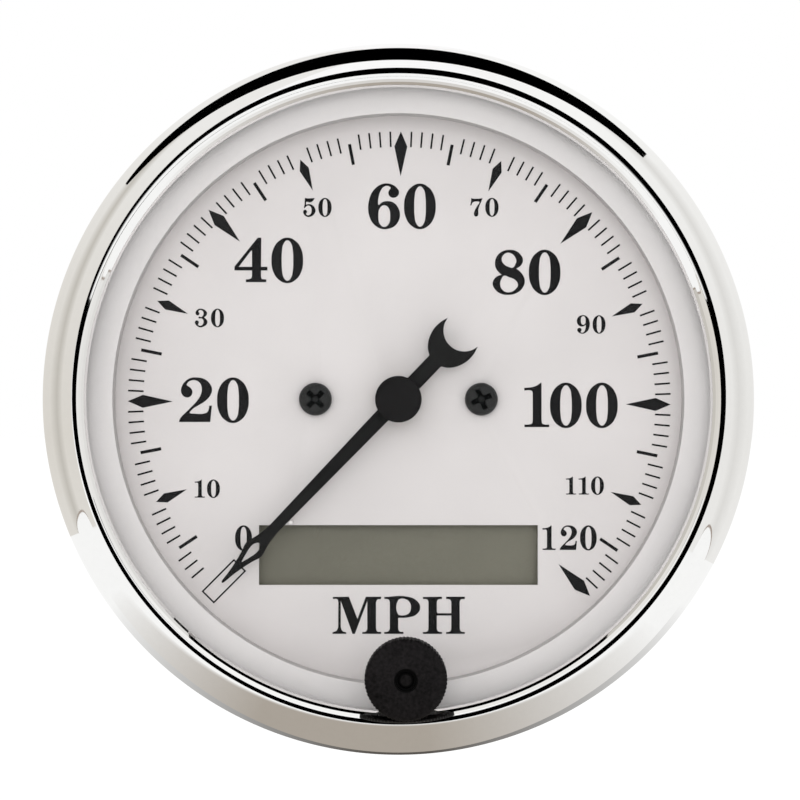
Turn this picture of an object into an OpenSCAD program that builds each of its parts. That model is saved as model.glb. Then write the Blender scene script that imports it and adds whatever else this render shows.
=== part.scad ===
// Panel speedometer with a rolled bezel, an air-core movement, a trip display and a trip button.
// Each piece is drawn with the dial facing +Z and its top at +Y, and then turned to face -Y with +Z up.
// The origin is on the spindle's axis, in the plane where the bezel seats on the panel.

/* [Case] */
// Outer diameter of the barrel that goes through the panel hole
case_d = 78.8; // [76:0.2:84]
// Thickness of the drawn case
case_wall = 0.8; // [0.6:0.1:1.2]
// Depth of the case behind the panel's front
case_depth = 48; // [46:1:60]
// Radius of the case's rear corner
case_corner_r = 2.4; // [1.8:0.2:4]
// Width of the flange at the case's mouth
case_flange_w = 2.7; // [2.2:0.1:3.4]
// Step of the shoulder that centres the bezel's lip
case_shoulder = 0.6; // [0.5:0.05:0.9]

/* [Bezel and glass] */
// Thickness of the bezel's sheet
bezel_wall = 0.6; // [0.4:0.1:0.8]
// Radius of the bezel's outer roll
bezel_roll_r = 3.55; // [3.2:0.05:3.9]
// Radius of the bezel's inner roll
bezel_curl_r = 1.65; // [1.2:0.05:2]
// Thickness of the glass
lens_t = 2; // [1.6:0.1:3]
// Thickness of the rubber ring under the glass
gasket_t = 0.5; // [0.4:0.1:1]
// Width of the rubber ring under the glass
gasket_w = 2.8; // [1.5:0.1:3.2]

/* [Trim ring and dial] */
// Width of the trim ring that frames the dial, from its bore to the barrel's outside
ring_w = 4.9; // [3.4:0.1:6.4]
// Thickness of the trim ring's flange
ring_flange_t = 2.3; // [1.6:0.1:3]
// Depth of the dial below the trim ring's face
dial_recess = 5; // [4.6:0.1:7]
// Thickness of the dial
dial_t = 1; // [0.6:0.1:1.5]
// Distance between the two dial screws
dial_screw_pitch = 20.2; // [18:0.2:26]
// Diameter of a dial screw's thread
dial_screw_d = 2.5; // [2:0.1:3]
// Diameter of a dial screw's head
dial_screw_head_d = 4; // [3.6:0.1:5]
// Height of a dial screw's head
dial_screw_head_h = 1.3; // [1:0.1:1.8]
// Outer diameter of the tubes behind the dial screws
dial_spacer_d = 4.8; // [4:0.1:6]

/* [Pointer] */
// Height of the pointer above the dial
pointer_lift = 2.4; // [2:0.1:3]
// Thickness of the pointer
pointer_t = 0.6; // [0.4:0.1:0.8]
// Direction in which the pointer rests, from the right hand side
pointer_rest_deg = 226.1; // [220:0.1:230]
// Gap between the pointer's tip and the trim ring
pointer_gap = 3.65; // [1.5:0.05:5.5]
// Width of the pointer's tip
pointer_tip_w = 0.3; // [0.2:0.05:0.6]
// Length of the spade from its widest place to the tip
spade_point_l = 5.65; // [4:0.05:7]
// Length of the spade from the shank to its widest place
spade_flare_l = 3.4; // [2.5:0.1:4.5]
// Greatest width of the spade
spade_w = 2.5; // [2:0.05:3.5]
// Length of the hole in the spade
spade_hole_l = 3.12; // [2:0.02:3.6]
// Width of the hole in the spade
spade_hole_w = 1.03; // [0.6:0.01:1.4]
// Width of the shank at the spindle
shank_root_w = 1.9; // [1.7:0.05:2.4]
// Width of the shank where the spade begins
shank_end_w = 1.3; // [1:0.05:1.6]
// Distance from the spindle to the middle of the tail's head
tail_reach = 9.7; // [8.5:0.1:11]
// Width of the tail's arm
tail_arm_w = 1.96; // [1.6:0.02:2.4]
// Width of the tail's head
tail_head_w = 5.68; // [5:0.02:7]
// Length of the tail's head
tail_head_l = 6.94; // [6:0.02:8]
// Radius of the jaw in the tail's head
tail_jaw_r = 2.55; // [2:0.05:2.7]
// Distance from the head's middle to the jaw's centre
tail_jaw_out = 1.87; // [1.5:0.01:2.5]
// Diameter of the cap on the spindle
cap_d = 5.64; // [4.5:0.02:7]
// Height of the cap
cap_h = 1.4; // [1:0.1:1.8]
// Diameter of the brass bush under the pointer
pointer_bush_d = 3; // [2.4:0.1:4]
// Height of the brass bush under the pointer
pointer_bush_h = 1; // [0.8:0.1:1.5]
// Diameter of the pin that the pointer rests on
stop_d = 0.5; // [0.4:0.05:0.8]
// Rise of the pointer's middle line above the display window at the stop pin
stop_rise = 1.08; // [1:0.02:2]

/* [Movement] */
// Diameter of the spindle
spindle_d = 1.2; // [1:0.1:1.6]
// Outer diameter of the spindle's bushes
bush_d = 2.6; // [2.4:0.1:3]
// Diameter of the rotor magnet
rotor_d = 10; // [9:0.5:12]
// Height of the rotor magnet
rotor_h = 3.6; // [2.5:0.1:5]
// Wall of the coil former
bobbin_wall = 1; // [0.8:0.1:1.5]
// Wall of the former's necks
neck_wall = 0.8; // [0.6:0.1:1]
// Thickness of a winding
coil_t = 1.2; // [0.8:0.1:1.6]
// Width of a winding on each side of the spindle
coil_w = 2.6; // [2:0.1:3]
// Thickness of the plate that carries the movement
plate_t = 2.4; // [2:0.1:3]
// Width of plate around each dial screw
plate_edge = 3; // [2.5:0.1:4]
// Height of the plate's spigot for the can
spigot_h = 0.8; // [0.6:0.1:1.2]
// Wall of the steel can
can_wall = 0.6; // [0.4:0.1:1]
// Number of turns of the hairspring
hairspring_turns = 4; // [3:1:5]
// Distance between two turns of the hairspring
hairspring_pitch = 0.8; // [0.6:0.05:0.9]
// Thickness of the hairspring's strip
hairspring_t = 0.15; // [0.1:0.01:0.25]
// Height of the hairspring's strip
hairspring_h = 0.7; // [0.5:0.1:1]
// Diameter of the collet inside the hairspring
collet_d = 2.8; // [2.4:0.1:3.2]
// Diameter of the stud that holds the hairspring's outer end
spring_stud_d = 1; // [0.8:0.1:1.4]

/* [Display] */
// Width of the display window in the dial
window_w = 34; // [28:0.2:38]
// Height of the display window in the dial
window_h = 7.3; // [6:0.1:9]
// Distance of the window's middle from the barrel's lower side
window_inset = 20.4; // [19.4:0.1:21.4]
// Width of display glass hidden at each end of the window
lcd_margin_x = 3; // [2.4:0.1:3.5]
// Height of display glass hidden above and below the window
lcd_margin_y = 2.2; // [1.8:0.1:2.6]
// Thickness of the display glass
lcd_t = 2.2; // [1.6:0.1:2.8]
// Thickness of the light guide behind the display glass
backlight_t = 2.5; // [2:0.1:3.5]
// Wall of the frame around the display
lcd_wall = 1.2; // [0.8:0.1:1.6]
// Thickness of the frame's lip in front of the display glass
lcd_lip_t = 0.5; // [0.4:0.1:0.8]
// Width of the frame's lip in front of the display glass
lcd_lip_w = 1.2; // [0.8:0.1:1.5]
// Thickness of each rubber contact strip
strip_t = 1.6; // [1.2:0.1:2]

/* [Board and light tube] */
// Thickness of the circuit board
board_t = 1.6; // [1:0.1:2]
// Height of the board's straight top edge above the spindle
board_top = 15; // [14:0.5:16]
// Diameter of a board screw's thread
board_screw_d = 2; // [1.6:0.1:2.5]
// Diameter of a board screw's head
board_screw_head_d = 3.2; // [3:0.1:3.8]
// Height of a board screw's head
board_screw_head_h = 1.2; // [1:0.1:1.6]
// Wall of the light tube
tube_wall = 1.6; // [1.2:0.1:1.8]
// Width of the shelf that carries the board
shelf_w = 4.2; // [4:0.1:5]
// Thickness of the shelf that carries the board
shelf_t = 2; // [1.5:0.1:3]
// Side of the square controller chip
chip_w = 9; // [7:0.5:10]
// Height of the controller chip
chip_h = 1.6; // [1:0.1:2.4]
// Length of the clock crystal
crystal_l = 10; // [8:0.5:11]
// Height of the clock crystal
crystal_h = 3.5; // [2.5:0.1:5]
// Diameter of the capacitors
capacitor_d = 6.4; // [5:0.1:8]
// Height of the capacitors
capacitor_h = 8; // [6:0.5:14]
// Width of the voltage regulator
regulator_w = 10; // [8:0.5:11]
// Height of the voltage regulator
regulator_h = 9; // [7:0.5:14]

/* [Trip button] */
// Distance of the button to the right of the spindle
button_x = 0.9; // [-2:0.1:2]
// Distance of the button from the barrel's lower side
button_inset = 6.2; // [5.8:0.1:7.9]
// Diameter of the knob
knob_d = 9.84; // [9:0.02:11]
// Height of the knob
knob_h = 6; // [5.6:0.1:8]
// Radius of the knob's front edge
knob_edge_r = 0.8; // [0.4:0.1:1.2]
// Diameter of the hole in the knob's face
knob_hole_d = 2.6; // [2.4:0.1:3]
// Depth of the rod's end below the knob's face
knob_hole_depth = 0.8; // [0.5:0.1:1]
// Thickness of the knob behind its face
knob_face_t = 2.6; // [2:0.1:2.8]
// Wall of the knob around its spring
knob_wall = 1.7; // [1.2:0.1:1.9]
// Travel of the button
button_travel = 1; // [0.6:0.1:1.4]
// Diameter of the rod
rod_d = 2; // [1.8:0.1:2.2]
// Diameter of the bush's barrel in the glass
lens_bush_d = 4; // [3.6:0.1:4.4]
// Diameter of the bush's front flange
lens_bush_flange_d = 7.6; // [7:0.1:8]
// Thickness of the bush's front flange
lens_bush_flange_t = 0.8; // [0.6:0.1:1]
// Wall of the collar that hides the spring
collar_wall = 0.5; // [0.4:0.05:0.6]
// Depth to which the collar reaches into the knob
collar_reach = 1.4; // [1:0.1:1.6]
// Width of the bush's rear lip behind the glass
lens_bush_lip_w = 0.4; // [0.3:0.05:0.6]
// Thickness of the bush's rear lip
lens_bush_lip_t = 0.6; // [0.4:0.1:0.8]
// Diameter of the spring's wire
button_spring_wire = 0.36; // [0.3:0.02:0.4]
// Number of turns of the spring
button_spring_turns = 5; // [4:1:7]
// Diameter of the clip that stops the rod
rod_clip_d = 4; // [3.4:0.1:4.4]
// Thickness of the clip that stops the rod
rod_clip_t = 0.5; // [0.4:0.1:0.8]
// Side of the push switch
switch_w = 4.6; // [4:0.1:4.8]
// Height of the push switch's body
switch_h = 2.6; // [2.2:0.1:2.8]
// Diameter of the push switch's plunger
plunger_d = 1.8; // [1.4:0.1:2.2]

/* [Lamp] */
// Distance of the dial lamp from the barrel's upper side
lamp_inset = 17.4; // [15.4:0.1:18.4]
// Diameter of the lamp holder's body
lamp_holder_d = 11.6; // [10.5:0.1:13]
// Depth of the lamp holder inside the case
lamp_holder_in = 8; // [6:0.5:10]
// Diameter of the lamp holder's flange
lamp_flange_d = 17; // [16.5:0.1:19]
// Thickness of the lamp holder's flange
lamp_flange_t = 1.8; // [1.4:0.1:2.5]
// Height of the finger grip behind the flange
lamp_grip_h = 6; // [4:0.5:8]
// Width of the finger grip
lamp_grip_w = 5; // [4:0.2:6]
// Reach of the holder's lugs beyond its body
lamp_lug_out = 1.6; // [1.2:0.1:1.8]
// Width of the holder's lugs
lamp_lug_w = 3; // [2.4:0.1:4]
// Thickness of the holder's lugs
lamp_lug_t = 1.4; // [1:0.1:2]
// Turn from locked to free
lamp_turn_deg = 60; // [45:5:75]
// Diameter of the bulb
bulb_d = 9; // [8:0.2:10]
// Length of the bulb in front of its holder
bulb_l = 14; // [10:0.5:16]
// Depth of the bulb's stem in its holder
bulb_stem_l = 6; // [4:0.5:7]
// Diameter of the bulb's stem
bulb_stem_d = 6; // [5:0.2:7]
// Length of the lamp's contact blades outside
lamp_blade_l = 8; // [6:0.5:9]
// Distance between the lamp's contact blades
lamp_blade_pitch = 8; // [7.4:0.1:8.4]

/* [Terminals] */
// Distance of the terminal block from the barrel's lower side
block_inset = 17.4; // [16.4:0.1:19.4]
// Number of terminals
blade_count = 4; // [2:1:4]
// Distance between neighbouring terminals
blade_pitch = 7; // [6.4:0.2:8]
// Width of a terminal blade
blade_w = 4.8; // [4:0.1:5.2]
// Thickness of a terminal blade
blade_t = 0.8; // [0.6:0.1:1]
// Length of a terminal blade outside the block
blade_out = 8; // [6:0.5:10]
// Length of a terminal's tail inside the block
blade_tail = 2; // [1:0.5:4]
// Thickness of the block's flange outside the case
block_flange_t = 3; // [2:0.2:5]
// Height of the block's flange
block_flange_h = 11; // [10:0.5:13]
// Height of the block's body
block_body_h = 7; // [5:0.5:9]
// Depth of the block inside the case
block_in = 6; // [4:0.5:8]
// Diameter of the rivets that hold the block
rivet_d = 2.4; // [2:0.1:3]
// Diameter of the leads to the board
lead_d = 1.4; // [1:0.1:2]

/* [Studs] */
// Distance between the two mounting studs
stud_pitch = 44; // [40:0.5:48]
// Diameter of a mounting stud
stud_d = 4.8; // [4:0.1:5]
// Depth of a mounting stud's thread
stud_thread = 0.25; // [0.2:0.05:0.4]
// Length of a mounting stud behind the case
stud_l = 26; // [18:1:36]
// Diameter of a stud's head inside the case
stud_head_d = 9; // [8:0.5:11]
// Thickness of a stud's head
stud_head_t = 2; // [1.5:0.1:3]
// Diameter of the washers on the studs
washer_d = 10.4; // [9.6:0.1:12]
// Thickness of the washers on the studs
washer_t = 1; // [0.6:0.1:1.4]
// Width of the nuts across their flats
nut_w = 8.7; // [8:0.1:9.5]
// Thickness of the nuts
nut_t = 3.2; // [2.4:0.1:4]

/* [Hidden] */
$fn = 96;

// Clearances: pressed on, running in a bush, screwed in, inside the bezel, slipped in, moving past
fit_press = 0.02;
fit_run = 0.03;
fit_screw = 0.05;
fit_rim = 0.15;
fit_slip = 0.2;
fit_move = 0.4;
// Overrun of a cutting tool past the face that it opens
cut = 1;

// Radii and heights of the case and bezel
case_r = case_d / 2;
case_in_r = case_r - case_wall;
case_floor = case_wall - case_depth;
flange_r = case_r + case_flange_w;
flange_front = bezel_wall + case_wall;
lip_r = case_r + case_shoulder + fit_rim;
bezel_r = flange_r + fit_rim + bezel_wall;
crest_r = bezel_r - bezel_roll_r;

// Places across the face and the rear, measured in from the barrel's outside
ring_bore_r = case_r - ring_w;
pointer_reach = ring_bore_r - pointer_gap;
window_drop = case_r - window_inset;
button_drop = case_r - button_inset;
lamp_up = case_r - lamp_inset;
block_drop = case_r - block_inset;
stop_reach = (window_drop - window_h / 2 - stop_rise) / -sin(pointer_rest_deg);

// Heights through the front, from the case's flange to the bezel's crest
ring_front = flange_front + ring_flange_t;
lens_back = ring_front + gasket_t;
lens_front = lens_back + lens_t;
crest_z = lens_front + bezel_curl_r;
roll_z = crest_z - bezel_roll_r;
roll_in_r = bezel_roll_r - bezel_wall;
lens_r = crest_r + sqrt(pow(roll_in_r, 2) - pow(lens_front - roll_z, 2)) - fit_slip;
dial_front = ring_front - dial_recess;
dial_back = dial_front - dial_t;
dial_r = case_in_r - fit_slip;

// Heights behind the dial: display, board and movement
lcd_front = dial_back - lcd_lip_t;
lcd_back = lcd_front - lcd_t;
board_front = lcd_back - backlight_t;
board_back = board_front - board_t;
plate_back = board_back - plate_t;
coil_front = plate_back - spigot_h;
bobbin_half_h = rotor_h / 2 + fit_move + bobbin_wall;
bobbin_top = coil_front - 2 * coil_t;
rotor_z = bobbin_top - bobbin_half_h;
bobbin_bottom = rotor_z - bobbin_half_h;
coil_rear = bobbin_bottom - 2 * coil_t;

// Sizes of the movement
spindle_r = spindle_d / 2;
bush_r = bush_d / 2;
chamber_r = rotor_d / 2 + fit_move;
bobbin_side = chamber_r + bobbin_wall;
neck_r = bush_r + neck_wall;
coil_in = neck_r + fit_screw;
coil_out = coil_in + coil_w;
can_in_r = max(bobbin_side * sqrt(2), norm([bobbin_side + coil_t, coil_out])) + fit_slip;
plate_r = max(dial_screw_pitch / 2 + plate_edge, can_in_r + can_wall);
bush_floor = 0.8;
spindle_rear = coil_rear + bush_floor + fit_slip / 2;

// Shape of the spade: its hole's share behind the widest place, its edge's power and its steps
spade_hole_share = 0.31;
spade_power = 1.65;
spade_steps = 8;

// Sizes of the pointer and the hairspring
pointer_back = dial_front + pointer_lift;
pointer_front = pointer_back + pointer_t;
spindle_front = pointer_front + cap_h / 2;
spade_peak = pointer_reach - spade_point_l;
spade_start = spade_peak - spade_flare_l;
hairspring_z = (board_front + dial_back) / 2;
hairspring_in_r = collet_d / 2 + fit_move / 2;
hairspring_out_r = hairspring_in_r + hairspring_turns * hairspring_pitch;
hairspring_steps = 36;
cap_edge_r = cap_h / 5;

// Sizes of the display and its frame
lcd_w = window_w + 2 * lcd_margin_x;
lcd_h = window_h + 2 * lcd_margin_y;
lcd_bay_w = lcd_w + fit_slip;
lcd_bay_h = lcd_h + fit_slip;

// Sizes of the light tube and the board
tube_r = case_in_r - fit_slip;
tube_in_r = tube_r - tube_wall;
board_r = tube_in_r - fit_slip;
board_screw_ring = board_r - board_screw_head_d / 2 - fit_slip;
board_screw_angles = [10, 170, 248, 292];
board_screw_grip = shelf_t * 0.8;
movement_clear = plate_r + fit_move;

// Places and sizes of the pieces on the board's rear face
part_gap = 3;
chip_x = -movement_clear - chip_w / 2 - part_gap;
crystal_w = 3.6;
crystal_y = -chip_w / 2 - crystal_w / 2 - part_gap;
capacitor_x = movement_clear + capacitor_d / 2 + part_gap;
regulator_t = 4.5;
regulator_y = chip_w / 2 + regulator_t / 2 + part_gap;
regulator_x = -movement_clear - regulator_w / 2;

// Heights and sizes of the trip button
knob_r = knob_d / 2;
knob_back = crest_z + button_travel + fit_move;
knob_front = knob_back + knob_h;
knob_bore_r = knob_r - knob_wall;
rod_r = rod_d / 2;
rod_front = knob_front - knob_hole_depth;
collar_r = knob_bore_r - fit_slip;
collar_in_r = collar_r - collar_wall;
lens_bush_r = lens_bush_d / 2;
lens_bush_front = lens_front + lens_bush_flange_t;
lens_bush_rear = lens_back - lens_bush_lip_t;
collar_front = knob_back + collar_reach;
knob_bore_top = knob_front - knob_face_t;
spring_mid_r = (collar_in_r + rod_r) / 2;
spring_wire_r = button_spring_wire / 2;
spring_sides = 6;
spring_rings = 16;
plunger_spare = 0.6;
plunger_out = button_travel + plunger_spare;
plunger_in = 1;
plunger_well = plunger_in + button_travel + fit_slip;
plunger_front = board_front + switch_h + plunger_out;
rod_clip_front = lens_bush_rear - fit_screw;

// Sizes of the lamp, the terminals and the studs
lamp_r = lamp_holder_d / 2;
lamp_lug_r = lamp_r + lamp_lug_out;
lamp_front = case_floor + lamp_holder_in;
lamp_flange_rear = -case_depth - lamp_flange_t;
lamp_grip_rear = lamp_flange_rear - lamp_grip_h;
lamp_grip_l = lamp_flange_d * 0.8;
lamp_blade_w = 3;
lamp_blade_in = 4;
blades_w = (blade_count - 1) * blade_pitch + blade_w;
block_edge = 2;
block_body_w = blades_w + 2 * block_edge;
rivet_pitch = block_body_w + 2 * rivet_d + block_edge;
block_flange_w = rivet_pitch + 2 * rivet_d + block_edge;
block_rear = -case_depth - block_flange_t;
block_front = case_floor + block_in;
rivet_head_r = rivet_d * 0.9;
rivet_head_h = rivet_d * 0.4;
rivet_edge_r = rivet_head_h * 0.8;
tail_end = block_front + blade_tail;
stud_r = stud_d / 2;
stud_root_r = stud_r - stud_thread;
nut_rear = -case_depth - washer_t - nut_t;
stud_head_edge_r = stud_head_t / 4;

// Screw heads: shares of the head's height that are rounded and recessed, and the recess's width
head_round = 0.6;
recess_depth = 0.6;
recess_span = 1.3;
recess_slot = 0.26;
dial_screw_turn = 35;
dial_screw_grip = plate_t * 0.6;
dial_screw_hole = plate_t * 0.8;

// Turns a piece from the drawing plane of the dial to its place in the panel
module gauge() {
  rotate([90, 0, 0]) children();
}

// Draws its child at the same distance to the left and to the right of the spindle
module both_sides(pitch) {
  for (side = [-1, 1]) {
    translate([side * pitch / 2, 0, 0]) children();
  }
}

// Draws its child on the trip button's axis
module at_button() {
  translate([button_x, -button_drop, 0]) children();
}

// Draws its child on the dial lamp's axis
module at_lamp() {
  translate([0, lamp_up, 0]) children();
}

// Draws its child at each terminal
module at_blades() {
  for (i = [0 : blade_count - 1]) {
    translate([(i - (blade_count - 1) / 2) * blade_pitch, -block_drop, 0]) children();
  }
}

// Draws its child at each board screw
module at_board_screws() {
  for (angle = board_screw_angles) {
    rotate([0, 0, angle]) translate([board_screw_ring, 0, 0]) children();
  }
}

// Round bar between two heights
module bar(r, rear, front) {
  translate([0, 0, rear]) cylinder(r = r, h = front - rear);
}

// Round tube between two heights
module tube(r_out, r_in, rear, front) {
  difference() {
    bar(r_out, rear, front);
    bar(r_in, rear - cut, front + cut);
  }
}

// Block of a width and a height between two heights, centred on its axis
module block(w, h, rear, front) {
  translate([-w / 2, -h / 2, rear]) cube([w, h, front - rear]);
}

// Half section of a disc whose front edge is rounded
module disc_section(r, h, edge) {
  square([r, h - edge]);
  square([r - edge, h]);
  translate([r - edge, h - edge]) {
    intersection() {
      circle(r = edge);
      square(edge);
    }
  }
}

// Disc from one height to another, rounded at its second face
module round_disc(r, from, to, edge) {
  translate([0, 0, from]) {
    mirror([0, 0, to < from ? 1 : 0]) rotate_extrude() disc_section(r, abs(to - from), edge);
  }
}

// Section of the space within the bezel's skin, at a depth below its outer face
module bezel_section(depth) {
  translate([crest_r, 0]) square([bezel_roll_r - depth, roll_z]);
  translate([crest_r, roll_z]) {
    intersection() {
      circle(r = bezel_roll_r - depth);
      square(bezel_roll_r);
    }
  }
  translate([crest_r, lens_front]) {
    intersection() {
      circle(r = bezel_curl_r - depth);
      translate([-bezel_curl_r, 0]) square(bezel_curl_r);
    }
  }
}

// Cross-shaped recess for a screwdriver, cut down from a height
module cross_recess(span, front, depth) {
  for (turn = [0, 90]) {
    rotate([0, 0, turn]) block(span, span * recess_slot, front - depth, front + cut);
  }
}

// Screw with a round head, seated at a height
module screw(shank_r, head_r, head_h, seat, length, turn) {
  difference() {
    union() {
      bar(shank_r, seat - length, seat);
      round_disc(head_r, seat, seat + head_h, head_h * head_round);
    }
    rotate([0, 0, turn]) cross_recess(head_r * recess_span, seat + head_h, head_h * recess_depth);
  }
}

// Drawn steel cup with its flange, shoulder and rear openings
module case() {
  color("dimgray") gauge() difference() {
    union() {
      round_disc(case_r, bezel_wall, -case_depth, case_corner_r);
      bar(case_r + case_shoulder, 0, bezel_wall);
      bar(flange_r, bezel_wall, flange_front);
    }
    round_disc(case_in_r, flange_front + cut, case_floor, case_corner_r - case_wall);
    both_sides(stud_pitch) bar(stud_r + fit_slip / 2, -case_depth - cut, case_floor + cut);
    at_lamp() lamp_keyhole();
    translate([0, -block_drop, 0]) block_openings();
  }
}

// Round hole with two notches that let the lamp holder's lugs through
module lamp_keyhole() {
  bar(lamp_r + fit_slip, -case_depth - cut, case_floor + cut);
  rotate([0, 0, lamp_turn_deg]) {
    block(
      2 * (lamp_lug_r + fit_slip), lamp_lug_w + 2 * fit_slip, -case_depth - cut, case_floor + cut
    );
  }
}

// Opening for the terminal block and its two rivets
module block_openings() {
  block(block_body_w + fit_slip, block_body_h + fit_slip, -case_depth - cut, case_floor + cut);
  both_sides(rivet_pitch) bar(rivet_d / 2 + fit_screw, -case_depth - cut, case_floor + cut);
}

// Rolled ring that is crimped behind the case's flange
module bezel() {
  color("silver") gauge() rotate_extrude() {
    difference() {
      bezel_section(0);
      bezel_section(bezel_wall);
    }
    translate([lip_r, 0]) square([bezel_r - lip_r, bezel_wall]);
  }
}

// Flat glass with the button bush's hole
module lens() {
  color([0.9, 0.95, 1, 0.25]) gauge() difference() {
    bar(lens_r, lens_back, lens_front);
    at_button() bar(lens_bush_r + fit_screw, lens_back - cut, lens_front + cut);
  }
}

// Rubber ring between the trim ring and the glass
module lens_gasket() {
  color("black") gauge() tube(lens_r, lens_r - gasket_w, ring_front, lens_back);
}

// White trim ring that hangs in the case's mouth and presses on the dial
module spacer_ring() {
  color("gainsboro") gauge() difference() {
    union() {
      bar(case_in_r - fit_slip, dial_front, flange_front);
      bar(lens_r, flange_front, ring_front);
    }
    bar(ring_bore_r, dial_front - cut, ring_front + cut);
    at_button() bar(lens_bush_r + lens_bush_lip_w + fit_move, dial_front - cut, ring_front + cut);
  }
}

// Dial plate with its window and holes
module dial() {
  color("whitesmoke") gauge() difference() {
    bar(dial_r, dial_back, dial_front);
    bar(bush_r, dial_back - cut, dial_front + cut);
    both_sides(dial_screw_pitch) {
      bar(dial_screw_d / 2 + fit_slip / 2, dial_back - cut, dial_front + cut);
    }
    translate([0, -window_drop, 0]) block(window_w, window_h, dial_back - cut, dial_front + cut);
    at_button() bar(rod_r + fit_slip, dial_back - cut, dial_front + cut);
    at_stop() bar(stop_d / 2 + fit_press, dial_back - cut, dial_front + cut);
  }
}

// Two screws through the dial, the spacers and the board into the movement's plate
module dial_screws() {
  color("black") gauge() both_sides(dial_screw_pitch) {
    screw(
      dial_screw_d / 2, dial_screw_head_d / 2, dial_screw_head_h, dial_front,
      dial_front - board_back + dial_screw_grip, dial_screw_turn
    );
  }
}

// Two tubes that hold the dial off the board
module dial_spacers() {
  color("goldenrod") gauge() both_sides(dial_screw_pitch) {
    tube(dial_spacer_d / 2, dial_screw_d / 2 + fit_slip / 2, board_front, dial_back);
  }
}

// Half width of the pointer's shank at a distance from the spindle
function shank_half(reach) =
  (shank_root_w + (shank_end_w - shank_root_w) * reach / spade_start) / 2;

// Half width of the spade from the shank to its widest place, over a share of that stretch
function flare_half(share) = (shank_end_w + (spade_w - shank_end_w) * share * share) / 2;

// Half width of the spade from its widest place to the tip, over a share of that stretch
function point_half(share) =
  (pointer_tip_w + (spade_w - pointer_tip_w) * pow(1 - share, spade_power)) / 2;

// One edge of the pointer from its tail's head to its tip
pointer_edge = concat(
  [[-tail_reach, tail_arm_w / 2], [-pointer_bush_d / 2, tail_arm_w / 2], [0, shank_root_w / 2]],
  [for (i = [0 : spade_steps]) let (s = i / spade_steps) [spade_start + s * spade_flare_l, flare_half(s)]],
  [for (i = [1 : spade_steps]) let (s = i / spade_steps) [spade_peak + s * spade_point_l, point_half(s)]]
);

// An outline made of one edge and its mirror image
function mirrored(edge) =
  concat(edge, [for (i = [len(edge) - 1 : -1 : 0]) [edge[i][0], -edge[i][1]]]);

// Draws its child at the stop pin, which touches the resting pointer's lower edge
module at_stop() {
  offset_y = shank_half(stop_reach) + stop_d / 2 + fit_screw;
  rotate([0, 0, pointer_rest_deg]) translate([stop_reach, offset_y, 0]) children();
}

// Pin in the dial that the pointer rests on
module zero_stop() {
  color("black") gauge() at_stop() bar(stop_d / 2, dial_back, pointer_front + fit_slip);
}

// Oval head of the pointer's tail
module tail_head() {
  linear_extrude(pointer_t) polygon([
    for (a = [0 : 10 : 350]) [tail_head_l / 2 * cos(a) - tail_reach, tail_head_w / 2 * sin(a)]
  ]);
}

// Kite-shaped hole through the spade
module spade_hole() {
  hole_rear = spade_peak - spade_hole_l * spade_hole_share;
  translate([0, 0, -cut]) linear_extrude(pointer_t + 2 * cut) polygon([
    [hole_rear, 0], [spade_peak, spade_hole_w / 2],
    [hole_rear + spade_hole_l, 0], [spade_peak, -spade_hole_w / 2]
  ]);
}

// Flat pointer with a pierced spade and an open-jaw tail
module pointer() {
  color([0.12, 0.12, 0.12]) gauge() rotate([0, 0, pointer_rest_deg]) translate([0, 0, pointer_back]) {
    difference() {
      union() {
        linear_extrude(pointer_t) polygon(mirrored(pointer_edge));
        tail_head();
        bar(pointer_bush_d / 2, 0, pointer_t);
      }
      bar(spindle_r + fit_press, -cut, pointer_t + cut);
      spade_hole();
      translate([-tail_reach - tail_jaw_out, 0, 0]) bar(tail_jaw_r, -cut, pointer_t + cut);
    }
  }
}

// Cap that hides the spindle's end
module pointer_cap() {
  color([0.14, 0.14, 0.14]) gauge() difference() {
    round_disc(cap_d / 2, pointer_front, pointer_front + cap_h, cap_edge_r);
    bar(spindle_r + fit_press, pointer_front - cut, spindle_front + fit_press);
  }
}

// Brass bush under the pointer
module pointer_bush() {
  color("goldenrod") gauge() {
    tube(pointer_bush_d / 2, spindle_r + fit_press, pointer_back - pointer_bush_h, pointer_back);
  }
}

// Shaft from the rear bush to the cap
module spindle() {
  color("lightsteelblue") gauge() bar(spindle_r, spindle_rear, spindle_front);
}

// Disc magnet that turns in the former's chamber
module rotor_magnet() {
  color("slategray") gauge() {
    tube(rotor_d / 2, spindle_r + fit_press, rotor_z - rotor_h / 2, rotor_z + rotor_h / 2);
  }
}

// Point on the hairspring's spiral, at a turn and a distance to its side
function spiral(turn, side) =
  (hairspring_in_r + turn * hairspring_pitch + side) * [cos(360 * turn + 90), sin(360 * turn + 90)];

// Flat spiral strip from the collet to its stud
module hairspring() {
  steps = hairspring_turns * hairspring_steps;
  outer_edge = [for (i = [0 : steps]) spiral(i / hairspring_steps, hairspring_t / 2)];
  inner_edge = [for (i = [steps : -1 : 0]) spiral(i / hairspring_steps, -hairspring_t / 2)];
  color("steelblue") gauge() translate([0, 0, hairspring_z - hairspring_h / 2]) {
    linear_extrude(hairspring_h) polygon(concat(outer_edge, inner_edge));
  }
}

// Collet on the spindle inside the hairspring
module hairspring_collet() {
  color("goldenrod") gauge() {
    tube(
      collet_d / 2, spindle_r + fit_press, hairspring_z - hairspring_h, hairspring_z + hairspring_h
    );
  }
}

// Stud on the board that holds the hairspring's outer end
module hairspring_stud() {
  reach = hairspring_out_r + hairspring_t / 2 + spring_stud_d / 2 + fit_press;
  color("goldenrod") gauge() translate([0, reach, 0]) {
    bar(spring_stud_d / 2, board_front, hairspring_z + hairspring_h);
  }
}

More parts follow.
